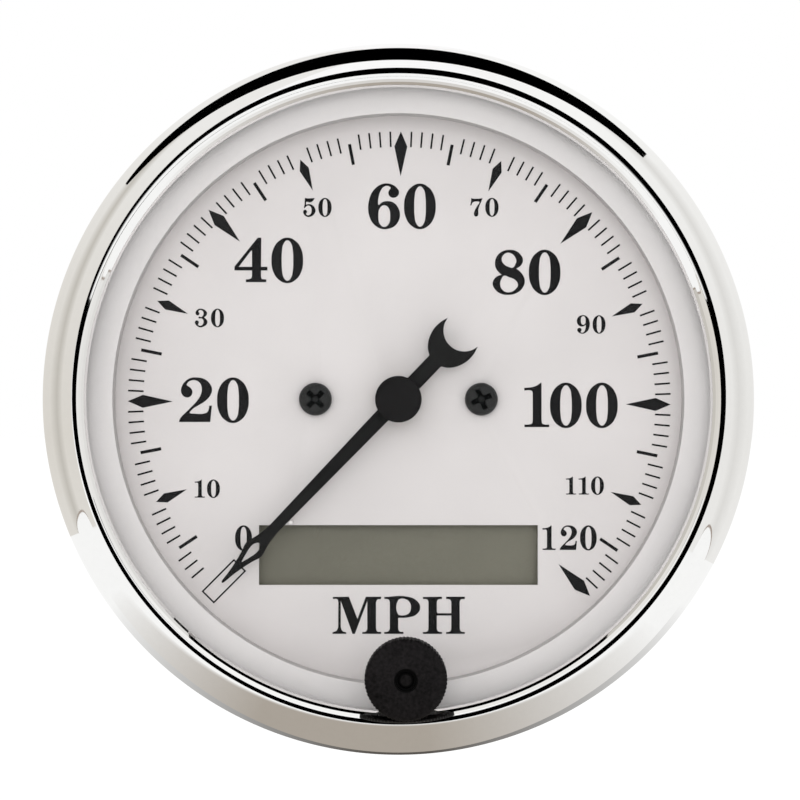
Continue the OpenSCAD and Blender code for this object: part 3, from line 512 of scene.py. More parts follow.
def flat_curve(title: str, half_depth: float, fineness: int) -> Curve:
    """Starts a flat curve that is filled and has depth.

    Args:
        title: Name of the curve.
        half_depth: Half of its depth.
        fineness: Steps between two points.

    Returns:
        The empty curve.
    """
    curve = bpy.data.curves.new(title, "CURVE")
    curve.dimensions = "2D"
    curve.fill_mode = "BOTH"
    curve.extrude = half_depth
    curve.resolution_u = fineness
    return curve


def outline(curve: Curve, words: str, place: Matrix) -> None:
    """Adds a closed outline to a flat curve.

    Args:
        curve: The curve.
        words: Points as x,y pairs, each smooth unless a c for corner follows it.
        place: Where the outline goes.
    """
    points = words.split()
    spline = curve.splines.new("BEZIER")
    spline.bezier_points.add(len(points) - 1)
    spline.use_cyclic_u = True
    for knot, word in zip(spline.bezier_points, points):
        x, y = (float(n) for n in word.rstrip("c").split(","))
        knot.co = place @ Vector((x, y, 0.0))
    for knot, word in zip(spline.bezier_points, points):
        kind = "VECTOR" if word.endswith("c") else "AUTO"
        knot.handle_left_type = kind
        knot.handle_right_type = kind


def polygon(*corners: Pair) -> str:
    """Writes corners as the words of an outline."""
    return " ".join(f"{x},{y}c" for x, y in corners)


def both_edges(words: str) -> str:
    """Closes an outline with the mirror image of its points in the x axis.

    Args:
        words: Half of the outline, as outline takes it.

    Returns:
        The whole outline.
    """
    back = []
    for word in reversed(words.split()):
        x, y = word.rstrip("c").split(",")
        if float(y) != 0.0:
            back.append(f"{x},{-float(y)}" + ("c" if word.endswith("c") else ""))
    return " ".join([words, *back])


Wardrobe = ClassVar[dict[str, Finish]]


@dataclass(frozen=True)
class Copy:
    """A piece that is a node's mesh with its hard edges rounded."""

    name: str
    slot: str
    node: str
    finish: Finish
    edge: float
    segments: int = 2
    taper: float = 0.0


Copies = tuple[Copy, ...]


@dataclass
class Assembly:
    """Pieces that belong together, with the plain nodes beside them.

    The wardrobe names the finishes of plain nodes and of pieces that aren't copies, and accents
    those of the marked faces.
    """

    wardrobe: Wardrobe = {}
    accents: Wardrobe = {}

    body: str = "housing"
    copies: Copies = ()
    pieces: list[Piece] = field(default_factory=list, init=False)

    def build(self) -> None:
        """Makes the pieces that are copies of nodes."""
        for copy in self.copies:
            mesh = softened(copy.node, copy.edge, copy.segments, copy.taper)
            self.add(mesh, copy.name, copy.slot, copy.node)

    def dress(self) -> None:
        """Gives the pieces and plain nodes their finishes."""
        finishes = {copy.name: copy.finish for copy in self.copies} | self.wardrobe
        for name, finish in finishes.items():
            wearer = bpy.data.objects[name]
            if not wearer.material_slots:
                wearer.data.materials.append(None)
            for slot in wearer.material_slots:
                slot.material = finish.material()
        for name, finish in self.accents.items():
            bpy.data.objects[name].data.materials.append(finish.material())

    def add(self, mesh: Mesh, name: str, slot: str, *nodes: str) -> Piece:
        """Makes a piece of a mesh that is in the row frame.

        Args:
            mesh: The mesh, which is freed.
            name: The piece's name.
            slot: The record's material slot, which is not used.
            nodes: The nodes that the piece stands for.

        Returns:
            The piece.
        """
        for face in mesh.faces:
            face.smooth = True
        for edge in mesh.edges:
            edge.smooth = not edge.is_manifold or edge.calc_face_angle(0.0) < CREASE
        piece = placed(name, mesh)
        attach(piece, self.body)
        if nodes:
            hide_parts(*nodes)
        self.pieces.append(piece)
        return piece

    def add_gauge(self, mesh: Mesh, name: str, slot: str, *nodes: str) -> Piece:
        """Makes a piece of a mesh that is in the gauge's frame, as add does."""
        bmesh.ops.transform(mesh, matrix=GAUGE, verts=mesh.verts)
        return self.add(mesh, name, slot, *nodes)


@dataclass
class Bezel(Assembly):
    """Bright ring that is rolled over the glass and crimped behind the case's flange.

    The shoulder has a radius and a sweep, and each flank the radius at its end and a slope. The
    stops along a flank keep its shading straight up to its ends.
    """

    wardrobe: Wardrobe = {"bezel_ring": CHROME}

    side_r: float = 42.849
    crest_r: float = 38.94
    crest_z: float = 7.85
    curl_r: float = 37.45
    shoulder: Pair = (1.345, 27.0)
    flanks: tuple[Pair, ...] = ((38.0, 30.0), (37.68, 39.0), (37.45, 57.0))
    stops: Triple = (0.05, 0.95, 1.0)
    sheet: float = 0.6
    roll_z: float = 4.3
    glass_z: float = 6.2
    lip_r: float = 40.15
    hem_r: float = 0.45
    hem_steps: int = 5
    roll_steps: int = 36
    shoulder_steps: int = 12
    curl_in_steps: int = 8
    roll_in_steps: int = 10
    facets: int = 420

    def ring(self) -> Mesh:
        """Turns the sheet's section: an oval roll, a round shoulder and straight flanks.

        Returns:
            The ring's mesh.
        """
        roll = (self.side_r - self.crest_r, self.crest_z - self.roll_z)
        curl = (self.crest_r - self.curl_r, self.crest_z - self.glass_z)
        roll_in = (roll[0] - self.sheet) / (roll[1] - self.sheet)
        curl_in = (curl[1] - self.sheet) / (curl[0] - self.sheet)
        wire = Section(self.lip_r, 0.0)
        wire.lines((self.side_r - self.hem_r, 0.0))
        wire.arc(self.side_r - self.hem_r, self.hem_r, 90.0, self.hem_steps)
        wire.lines((self.side_r, self.roll_z))
        wire.arc(self.crest_r, self.roll_z, 90.0, self.roll_steps, (1.0, roll[1] / roll[0]))
        bend, lean = self.shoulder[0], math.radians(self.shoulder[1])
        wire.arc(self.crest_r, self.crest_z - bend, self.shoulder[1], self.shoulder_steps)
        at = Vector((0.0, self.crest_z - bend)) + bend * Vector((-math.sin(lean), math.cos(lean)))
        at.x += self.crest_r
        for r, slope in self.flanks:
            run = (r - at.x) * Vector((1.0, math.tan(math.radians(slope))))
            wire.lines(*(at + stop * run for stop in self.stops))
            at += run
        wire.lines((self.curl_r, self.glass_z), (self.curl_r + self.sheet, self.glass_z))
        wire.arc(self.crest_r, self.glass_z, -90.0, self.curl_in_steps, (1.0, curl_in))
        wire.arc(self.crest_r, self.roll_z, -90.0, self.roll_in_steps, (roll_in, 1.0))
        wire.lines((self.side_r - self.sheet, self.sheet), (self.lip_r, self.sheet))
        return wire.turned(self.facets)

    def build(self) -> None:
        """Makes the ring."""
        self.add_gauge(self.ring(), "bezel_ring", "bezel_chrome", "bezel")


@dataclass
class Glazing(Assembly):
    """Glass, its seal and the white ring that holds it off the dial."""

    wardrobe: Wardrobe = {"front_glass": LENS_GLASS, "trim_ring": RING_WHITE}
    # The glass's edge is frosted; the ring's bore is painted grey as shade.
    accents: Wardrobe = {"front_glass": GROUND_EDGE, "trim_ring": BORE_PAINTED_SHADE}

    copies: Copies = (Copy("glass_seal", "seal_rubber", "lens_gasket", RUBBER, 0.1),)
    glass_edge: float = 0.12
    glass_r: float = 41.0
    ring_edge: float = 0.12
    ring_segments: int = 3
    bore_r: float = 34.52

    def glass(self) -> Mesh:
        """Copies the glass and marks its outer edge.

        Returns:
            The glass's mesh.
        """
        return marked(
            softened("lens", self.glass_edge),
            lambda face: abs(face.normal.y) < SIDEWAYS
            and face.calc_center_median().xz.length > self.glass_r * MM,
        )

    def trim(self) -> Mesh:
        """Copies the white ring and marks its bore, which takes a painted shade.

        Returns:
            The ring's mesh.
        """
        return marked(
            softened("spacer_ring", self.ring_edge, self.ring_segments),
            lambda face: abs(face.normal.y) < SIDEWAYS
            and face.calc_center_median().xz.length < self.bore_r * MM,
        )

    def build(self) -> None:
        """Makes the three rings."""
        super().build()
        self.add(self.glass(), "front_glass", "lens_glass", "lens")
        self.add(self.trim(), "trim_ring", "ring_white", "spacer_ring")


OVAL = (
    "35.7,100.2 54,93 66.5,76 71.3,48.9 66.5,21.8 54,4.8 35.7,-2.4 17.3,4.8 4.8,21.8 0,48.9 "
    "4.8,76 17.3,93"
)
OVAL_EYE = (
    "36,94.1 44.2,87 48.2,70 49,48.7 48.2,27.4 44.2,10.4 36,3.3 27.8,10.4 23.8,27.4 23,48.7 "
    "23.8,70 27.8,87"
)
GLYPHS = {
    "0": (OVAL, OVAL_EYE),
    "1": (
        "39.1,100c 39.1,15.8c 41,8.1 46.9,5.7 56.5,5.7c 56.2,0c 0.6,0c 0.6,5.6c 11.2,5.9 "
        "17.4,8.1 19.3,15.8c 19.3,74.8c 18.2,80.3 14.3,82.6 0.3,82.3c 0,88.5c 11.2,89.1 22,91.1 "
        "30.6,95 36.8,99.7c",
    ),
    "2": (
        "38.3,100.2 55.2,97.2 68.5,87 73.9,73.7 70.3,60.4 60,48.3 44.3,38 32.2,30.8 23.2,21.7c "
        "25.6,19.1c 59.4,19.9 64.3,23.6 66.7,30.2 67.6,36.8c 73.6,36.8c 69.9,0c 0,0c 0.8,5.4 "
        "23.8,30.2 40.7,48.3 48.6,61.6 50.7,76.1 46.1,88.2 34.7,94 25,92.4 17.8,86.4 17.1,82.7c "
        "22.6,79.1 28.6,72.5 29.6,65.2 25,57.4 17.1,55.2 8.7,59.2 4.2,69.4 6.9,82.1 15.3,93 "
        "26.2,99",
    ),
    "3": (
        "33,100.3 51,95 63.7,84.6 67.5,74.1 63,62.8 51.7,51.6c 63,41.8 69.7,27.6 64.5,13.3 "
        "51,2.8 31.5,-3.1 13.5,4.3 3,16.3 0.3,24.6 4.5,32.8 12,35.5 20.2,30.6 22.2,23.8 "
        "18.7,16.3 18.7,11.8 28.5,6.1 40.5,10.3 47.2,20.8 48,31.3 45,40.3 37.5,46.6 24,46.3 "
        "20.2,51.6 24,56.1 36,53.8 43.5,59.8 48,70.3 46.5,82.3 39,90.6 31.5,92.8 24,90.6 "
        "20.2,83.8 24.7,77.8 25.8,71.8 21,65.1 15,62.8 7.5,67.3 4.2,77.1 8.2,88.3 19.5,97.3",
    ),
    "4": (
        "52.2,100c 60.3,100c 59.7,34.6c 74.1,34.6c 74.1,26.3c 59.7,26.3c 59.7,13.9c 61.1,8 "
        "65.8,6.5 71.7,6.3c 71.5,0c 25.5,0c 25.5,6.3c 32.8,6.8 38.1,9.8 39.3,15.1c 39.3,26.3c "
        "0,26.3c 0,35.1c",
        "37.5,71.1c 39.3,70.5c 39.3,34.6c 9.8,34.6c",
    ),
    "5": (
        "9.7,101c 22.5,98 46.5,98.5 63,99.5c 54,85.3 46.5,79.3 34.5,76.3 22.5,79.3 16.5,78.6c "
        "15.3,63.6c 31.5,67 51,60.6 63,47.1 67.2,32.8 61.5,15.6 48,2.8 28.5,-2.4 13.5,2.8 3,14.8 "
        "0.3,24.6 3.8,33.6 11.2,37 18.7,32.1 21.7,24.6 16.5,15.6 18,10.3 27,6.6 37.5,10.3 "
        "44.2,20.8 45.7,34.3 43.5,47.8 36,56.8 27,59.1 18,55.3 8.2,44.8c 3.8,47.8c 7.5,61.3 "
        "9,82.3",
    ),
    "6": (
        "42.7,100.6 55.1,97.6 65.7,89.4 69.8,81.1 66.3,72.3 57.4,68.4 48.6,71.7 45.6,79.4 "
        "48,86.4 50.9,90.6 48,93.5 42.7,95 35,92.7 27.9,83.5 24.1,71.7 22.4,58.7 23,52.2c "
        "25,52.6c 32.1,58.4 44.5,60.8 57.4,57.3 67.1,46.9 71.8,31 68.6,16.3 58.6,3.9 45.6,-1.4 "
        "35.6,-2.4 23.2,0.9 10.3,11.6 2.9,26.9 0,44.6 1.8,61.1 7.3,77.6 17.3,90.6 29.1,98.2",
        "36.4,51.4 45.6,46 49.6,27.2 45.6,8.4 36.4,3 27.2,8.4 23.2,27.2 27.2,46",
    ),
    "7": (
        "6,99.6c 12.7,97 36.7,95.5 57.7,97 67.5,98.8c 59.2,77.8 49.5,53.8 44.2,32.8 45,14.8 "
        "41.2,3.6 32.2,-0.9 24,3.6 20.5,14.8 24,28.3 38.2,56.8 50.2,76.3 48.7,80.5c 20.2,78.6 "
        "12.7,73.3 7.5,59.8c 0,59.8c 4.5,76.3",
    ),
    "8": (
        "38.7,99.9 52.2,97.5 63.4,88.7 68.4,77.5 66.4,68.6 60.5,61.6 53.2,57.4c 60.5,52.1 "
        "69.3,40.9 72.6,29.1 68.2,15 55.8,3.2 34.6,-1.9 15.7,2 3.9,12.6 0,23.8 3.3,33.8 "
        "10.4,40.3 20.2,43.5c 12.7,50.4 6.8,59.8 5.3,70.4 8.6,83.4 18,94 27.5,98.5",
        "36.9,93.4 53.2,77.5 51.1,66.9 44.6,59.2 36.9,61.2 27.5,65.7 20.4,77.5 23.9,87.5",
        "25.7,41.2 36.9,38 48.7,33.3 57,22.1 52.2,11.4 34.6,3.8 21.6,10.3 16.9,23.2 19.8,33.8",
    ),
    "M": (
        "1,99.3c 44.3,100c 67.5,40.5c 90,100c 131.8,100c 130.5,93.5c 121.8,92.5 117.3,85.5c "
        "117.3,14.3c 120.5,6.8 131,5.5c 131,0c 80.5,0c 80.5,5c 89.3,6 93.8,13c 93.8,88c 60.5,0c "
        "54.3,0c 22.5,88.5c 22.5,18c 26.8,8 36.8,4.3c 37.5,0c 0,0c 1,4.3c 11.8,9.3 15.5,18c "
        "16,85.5c 13,93 1.8,93.8c",
    ),
    "P": (
        "0,99.3c 63.8,100 87.5,89.3 96.8,71.8 87.5,53 63.8,44.3 37.5,43c 37.5,13c 41.3,6.8 "
        "51.8,5.5c 51.8,0c 0,0c 0,5c 10,6.3 15,13c 15,86.8c 11.3,92.5 0.5,93.8c",
        "37.5,90.5 43.8,94.3 56.3,93.8 68.8,84.3 71.8,71.8 67.5,56.8 56.3,50.5 43.8,50 37.5,52.5",
    ),
    "H": (
        "0,99.3c 51.3,100c 51.3,93.8c 41.3,92.5 37.5,86.8c 37.5,59.3c 40,55.5c 76.3,55.5c "
        "76.3,86.8c 72.5,92.5 62.5,93.8c 62.5,100c 113,100c 113,93.8c 102.5,92.5 98.8,86.8c "
        "99.3,13c 102.5,6.8 113,5c 112.5,0c 62.5,0c 62.5,5c 72.5,6.3 76.3,13c 76.3,49.3c "
        "37.5,49.3c 37.5,13c 41.3,6.8 51.3,5c 51.3,0c 0,0c 0,5c 11.3,6.3 15,13c 15,86.8c "
        "11.3,92.5 0.5,93.8c",
    ),
}
EM = 100.0
NINE_CORNER = (71.8, 98.2, 0.0)


@dataclass(frozen=True)
class Label:
    """A word or number on the dial, with the left side of each figure."""

    text: str
    lefts: tuple[float, ...]
    base: float
    height: float
    stretch: float = 1.0

    def draw(self, curve: Curve) -> None:
        """Adds the label's figures to a curve. A nine is a six turned over.

        Args:
            curve: The curve.
        """
        rise = self.height / EM
        size = Matrix.Diagonal((rise * self.stretch, rise, 1.0, 1.0))
        for figure, left in zip(self.text, self.lefts):
            place = Matrix.Translation((left, self.base, 0.0)) @ size
            if figure == "9":
                figure = "6"
                place = place @ Matrix.Translation(NINE_CORNER) @ Matrix.Rotation(math.pi, 4, "Z")
            for words in GLYPHS[figure]:
                outline(curve, words, place)


@dataclass
class Dial(Assembly):
    """Printed plate, its screws and the pin that the pointer rests on.

    A straight mark has an inner end, an outer end and a width. A ten's kite has the place of its
    width between its ends.
    """

    wardrobe: Wardrobe = {
        "dial_print": INK, "cross_head_screws": SCREW_BLACK, "dial_spacers": BRASS,
    }
    # The screws' crosses take a painted shade.
    accents: Wardrobe = {"cross_head_screws": RECESS_PAINTED_SHADE}

    copies: Copies = (
        Copy("dial_plate", "dial_paint", "dial", DIAL_PAINT, 0.06),
        Copy("stop_pin", "dial_paint", "zero_stop", DIAL_PAINT, 0.08),
    )
    front_z: float = -1.3
    ink_depth: float = 0.03
    ink_sunk: float = 0.006
    letter_steps: int = 5
    centre: Pair = (0.11, -0.45)
    turn: float = -0.35
    zero_deg: float = 225.0
    step_deg: float = 2.25
    speeds: tuple[int, int] = (2, 120)
    fine: Triple = (31.19, 33.08, 0.215)
    five: Triple = (29.55, 32.11, 0.385)
    small_ten: Quad = (27.94, 30.71, 32.01, 1.19)
    large_ten: Quad = (27.60, 31.24, 33.08, 1.58)
    zero_box: Triple = (5.59, 2.11, 0.19)
    zero_at: Pair = (-21.26, -22.18)
    zero_turn: float = 225.5
    screw_x: float = 10.1
    screw_turns: Pair = (10.0, -13.0)
    screw_edge: float = 0.09
    recess_r: float = 1.4
    floor_z: float = -0.8
    recess_z: Pair = (-0.95, -0.16)
    recess_cone: Triple = (0.4, 0.12, 0.2)
    cone_sides: int = 24
    labels: tuple[Label, ...] = (
        Label("60", (-3.69, 0.69), 20.84, 5.42),
        Label("40", (-19.97, -15.47), 14.26, 5.42),
        Label("80", (11.49, 15.90), 12.81, 5.40),
        Label("20", (-26.71, -22.09), -2.78, 5.42),
        Label("100", (15.33, 18.48, 22.87), -3.40, 5.41),
        Label("120", (17.56, 19.67, 22.14), -18.37, 2.99, 0.95),
        Label("0", (-19.90,), -18.42, 3.04, 0.95),
        Label("30", (-24.81, -22.83), 8.81, 2.22),
        Label("50", (-11.61, -9.75), 22.26, 2.26),
        Label("70", (8.74, 10.60), 22.27, 2.26),
        Label("90", (21.75, 23.67), 8.03, 2.2),
        Label("10", (-24.82, -23.32), -11.99, 2.2),
        Label("110", (20.41, 21.97, 23.48), -11.62, 2.2),
        Label("MPH", (-8.04, -1.72, 2.99), -28.60, 4.53),
    )

    def turned(self, at: Pair, angle: float) -> Matrix:
        """Places an outline on the dial, with its x axis at an angle in degrees."""
        turn = Matrix.Rotation(math.radians(angle + self.turn), 4, "Z")
        return Matrix.Translation((*at, 0.0)) @ turn

    def mark(self, speed: int) -> str:
        """Writes the outline of a mark, which lies along the x axis.

        Args:
            speed: The speed that it stands for.

        Returns:
            The outline's words.
        """
        if speed % 10:
            inner, outer, width = self.fine if speed % 5 else self.five
            y = width / 2.0
            return polygon((inner, -y), (outer, -y), (outer, y), (inner, y))
        inner, middle, outer, width = self.small_ten if speed % 20 else self.large_ten
        y = width / 2.0
        return polygon((inner, 0.0), (middle, -y), (outer, 0.0), (middle, y))

    def print_mesh(self) -> Mesh:
        """Draws the lettering, the scale and the open box that marks zero.

        Returns:
            The print's mesh.
        """
        curve = flat_curve("lettering", self.ink_depth / 2.0, self.letter_steps)
        for label in self.labels:
            label.draw(curve)
        first, top = self.speeds
        for speed in range(first, top + 1):
            place = self.turned(self.centre, self.zero_deg - self.step_deg * speed)
            outline(curve, self.mark(speed), place)
        length, width, line = self.zero_box
        for inset in (0.0, line):
            x, y = length / 2.0 - inset, width / 2.0 - inset
            box = polygon((x, y), (-x, y), (-x, -y), (x, -y))
            outline(curve, box, self.turned(self.zero_at, self.zero_turn))
        mesh = solid_from(curve)
        lift = self.front_z - self.ink_sunk + self.ink_depth / 2.0
        bmesh.ops.translate(mesh, vec=(0.0, 0.0, lift), verts=mesh.verts)
        return mesh

    def cone(self, mesh: Mesh, side: float) -> None:
        """Adds the blunt cone at the bottom of a screw's recess.

        Args:
            mesh: The screws' mesh, in the row frame.
            side: The screw's side, -1 or 1.
        """
        foot, tip, height = self.recess_cone
        place = Matrix.Translation((side * self.screw_x, 0.0, self.floor_z + height / 2.0))
        bmesh.ops.create_cone(
            mesh, cap_ends=True, segments=self.cone_sides, radius1=foot, radius2=tip,
            depth=height, matrix=GAUGE @ place,
        )

    def in_shaded_recess(self, face: Face) -> bool:
        """Tells whether a face of the screws is inside a cross, where shade is painted.

        Args:
            face: The face.

        Returns:
            True inside a cross.
        """
        middle = face.calc_center_median() / MM
        low, high = self.recess_z
        reach = math.hypot(abs(middle.x) - self.screw_x, middle.z)
        return reach < self.recess_r and low < -middle.y < high

    def screws(self) -> Mesh:
        """Copies the screws, marks each recess for its painted shade and turns each cross its own
        way.

        Returns:
            The screws' mesh.
        """
        mesh = marked(softened("dial_screws", self.screw_edge), self.in_shaded_recess)
        for side, turn in zip((-1.0, 1.0), self.screw_turns):
            self.cone(mesh, side)
            bmesh.ops.rotate(
                mesh, cent=(side * self.screw_x * MM, 0.0, 0.0),
                matrix=Matrix.Rotation(math.radians(turn), 3, (0.0, -1.0, 0.0)),
                verts=[v for v in mesh.verts if v.co.x * side > 0.0],
            )
        return mesh

    def build(self) -> None:
        """Makes the plate, the pin, the print and the screws."""
        super().build()
        self.add_gauge(self.print_mesh(), "dial_print", "pointer_black")
        self.add(self.screws(), "cross_head_screws", "black_screw", "dial_screws")


@dataclass
class Pointer(Assembly):
    """Flat pierced pointer with its cap and the works that turn with it."""

    wardrobe: Wardrobe = {
        "pointer_blade": POINTER_BLACK, "pointer_bush": BRASS, "spindle": STEEL,
        "rotor_magnet": SINTER, "hairspring_collet": BRASS,
    }

    body: str = "pointer"
    copies: Copies = (Copy("hub_cap", "cap_black", "pointer_cap", CAP_BLACK, 0.1),)
    rest_deg: float = 226.1
    back_z: float = 1.1
    thick: float = 0.6
    edge: float = 0.07
    edge_steps: int = 2
    curve_steps: int = 8
    blade: str = (
        "30.85,0 30.72,0.13 30.4,0.19 29.44,0.29 28.03,0.53 26.61,0.86 25.2,1.25 24.3,1.03 "
        "23.3,0.8 21.8,0.65c 1.17,0.94c 0,1.5 -1.15,0.98c -6.44,0.98c -7.04,1.83 -8.51,2.67 "
        "-10,2.83 -11.27,2.53c -10.3,2.21 -9.36,1.28 -9.02,0"
    )
    window: str = "27.35,0 27.1,0.1 26.3,0.32 25.2,0.5 24.6,0.38 24.25,0"
    bore: str = "0.6,0 0,0.6 -0.6,0"

    def blade_mesh(self) -> Mesh:
        """Draws the pierced outline at its rest angle.

        Returns:
            The blade's mesh.
        """
        curve = flat_curve("blade", self.thick / 2.0 - self.edge, self.curve_steps)
        curve.bevel_depth = self.edge
        curve.bevel_resolution = self.edge_steps
        curve.offset = -self.edge
        middle = Matrix.Translation((0.0, 0.0, self.back_z + self.thick / 2.0))
        place = middle @ Matrix.Rotation(math.radians(self.rest_deg), 4, "Z")
        for words in (self.blade, self.window, self.bore):
            outline(curve, both_edges(words), Matrix.Identity(4))
        mesh = solid_from(curve)
        bmesh.ops.transform(mesh, matrix=place, verts=mesh.verts)
        return mesh

    def build(self) -> None:
        """Makes the cap and the blade."""
        super().build()
        self.add_gauge(self.blade_mesh(), "pointer_blade", "pointer_black", "pointer")


@dataclass
class TripButton(Assembly):
    """Serrated knob with the rod, clip and plunger that it presses."""

    # The knob's hole and the rod's sides take a painted shade over the rod's own black; the rod's
    # end is plain black.
    wardrobe: Wardrobe = {"trip_knob": KNOB_BLACK, "trip_rod": RECESS_PAINTED_SHADE, "rod_clip": STEEL}
    accents: Wardrobe = {"trip_knob": RECESS_PAINTED_SHADE, "trip_rod": CAP_BLACK}

    body: str = "trip_button"
    copies: Copies = (
        Copy("switch_tip", "plunger_red", "switch_plunger", PLUNGER_RED, 0.15),
    )
    knob_r: float = 4.92
    teeth: int = 66
    tooth_steps: int = 4
    tooth: float = 0.1
    rear_z: float = 9.25
    rear_edge: Pair = (0.35, 0.25)
    face_z: float = 15.25
    edge: Pair = (3.4, 1.0)
    edge_steps: int = 9
    hole_r: float = 1.3
    hole_depth: float = 0.8
    hole_edge: Pair = (0.12, 0.1)
    rod_r: float = 1.0
    rod_edge: float = 0.35
    rod_segments: int = 3
    bore_r: float = 3.22
    bore_z: float = 12.65

    def ring(
        self, mesh: Mesh, edges: list[Edge], r: float, z: float, tooth: float = 0.0
    ) -> list[Edge]:
        """Extrudes a loop to the next one.

        Args:
            mesh: The knob's mesh.
            edges: The loop to go on from.
            r: The next loop's radius.
            z: Its height.
            tooth: Depth of its serration.

        Returns:
            The next loop's edges.
        """
        geom = bmesh.ops.extrude_edge_only(mesh, edges=edges)["geom"]
        for vert in verts_in(geom):
            angle = math.atan2(vert.co.y, vert.co.x)
            reach = r - tooth * (0.5 - 0.5 * math.cos(self.teeth * angle))
            vert.co = (reach * math.cos(angle), reach * math.sin(angle), z)
        return [g for g in geom if isinstance(g, Edge)]

    def in_shaded_hole(self, face: Face) -> bool:
        """Tells whether a face of the knob is inside its hole, which is painted dark as shade."""
        middle = face.calc_center_median()
        return middle.z > self.bore_z and middle.xy.length < self.hole_r + self.hole_edge[1]

    def knob(self) -> Mesh:
        """Draws the knob loop by loop, from its bore round to its bore again.

        Returns:
            The knob's mesh.
        """
        mesh = bmesh.new()
        bmesh.ops.create_circle(mesh, segments=self.tooth_steps * self.teeth, radius=self.bore_r)
        bmesh.ops.translate(mesh, vec=(0.0, 0.0, self.rear_z), verts=mesh.verts)
        first = mesh.edges[:]
        loop = self.ring(mesh, first, self.knob_r - self.rear_edge[0], self.rear_z)
        loop = self.ring(mesh, loop, self.knob_r, self.rear_z + self.rear_edge[1], self.tooth)
        wide, high = self.edge
        for step in range(self.edge_steps + 1):
            lean = math.pi / 2.0 * step / self.edge_steps
            r = self.knob_r - wide + wide * math.cos(lean)
            z = self.face_z - high + high * math.sin(lean)
            loop = self.ring(mesh, loop, r, z, self.tooth * math.cos(lean))
        floor = self.face_z - self.hole_depth
        for r, z in (
            (self.hole_r + self.hole_edge[0], self.face_z),
            (self.hole_r, self.face_z - self.hole_edge[1]),
            (self.hole_r, floor), (self.rod_r, floor),
            (self.rod_r, self.bore_z), (self.bore_r, self.bore_z),
        ):
            loop = self.ring(mesh, loop, r, z)
        bmesh.ops.bridge_loops(mesh, edges=loop + first)
        marked(mesh, self.in_shaded_hole)
        bmesh.ops.translate(mesh, vec=(*BUTTON_AT, 0.0), verts=mesh.verts)
        return mended(mesh)

    def rod(self) -> Mesh:
        """Copies the rod and marks its end, which shows in the knob's hole; the rest of the black
        rod is darker still, as painted shade of the hole.

        Returns:
            The rod's mesh.
        """
        mesh = softened("button_rod", self.rod_edge, self.rod_segments)
        front = min(v.co.y for v in mesh.verts) + WELD_M
        return marked(mesh, lambda face: all(v.co.y < front for v in face.verts))

    def build(self) -> None:
        """Makes the plunger, the knob and the rod."""
        super().build()
        self.add_gauge(self.knob(), "trip_knob", "knob_black", "button_knob")
        self.add(self.rod(), "trip_rod", "black_screw", "button_rod")


@dataclass
class ButtonGuide(Assembly):
    """Bush in the glass and the spring that it hides."""

    wardrobe: Wardrobe = {"return_spring": STEEL, "push_switch": MOULDING}

    copies: Copies = (
        Copy("glass_bush", "black_moulding", "button_bush", MOULDING, 0.12),
    )
    coil_r: float = 1.76
    wire_r: float = 0.18
    wire_sides: int = 10
    low_z: float = 7.18
    high_z: float = 12.47
    turns: int = 5
    steps: int = 24
    travel: float = 1.0

    def spring(self) -> Mesh:
        """Winds the spring's wire.

        Returns:
            The spring's mesh.
        """
        mesh = bmesh.new()
        foot = Matrix.Translation((self.coil_r, 0.0, self.low_z))
        bmesh.ops.create_circle(
            mesh, segments=self.wire_sides, radius=self.wire_r,
            matrix=foot @ Matrix.Rotation(math.pi / 2.0, 4, "X"),
        )
        count = self.turns * self.steps
        wind(mesh, count, self.turns, (self.high_z - self.low_z) / count)
        bmesh.ops.holes_fill(mesh, edges=[e for e in mesh.edges if e.is_boundary])
        bmesh.ops.translate(mesh, vec=(*BUTTON_AT, 0.0), verts=mesh.verts)
        return mended(mesh)

    def build(self) -> None:
        """Makes the bush and the spring, which gets a mesh of its own."""
        super().build()
        coil = self.add_gauge(self.spring(), "return_spring", "steel", "button_spring")
        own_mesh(coil)


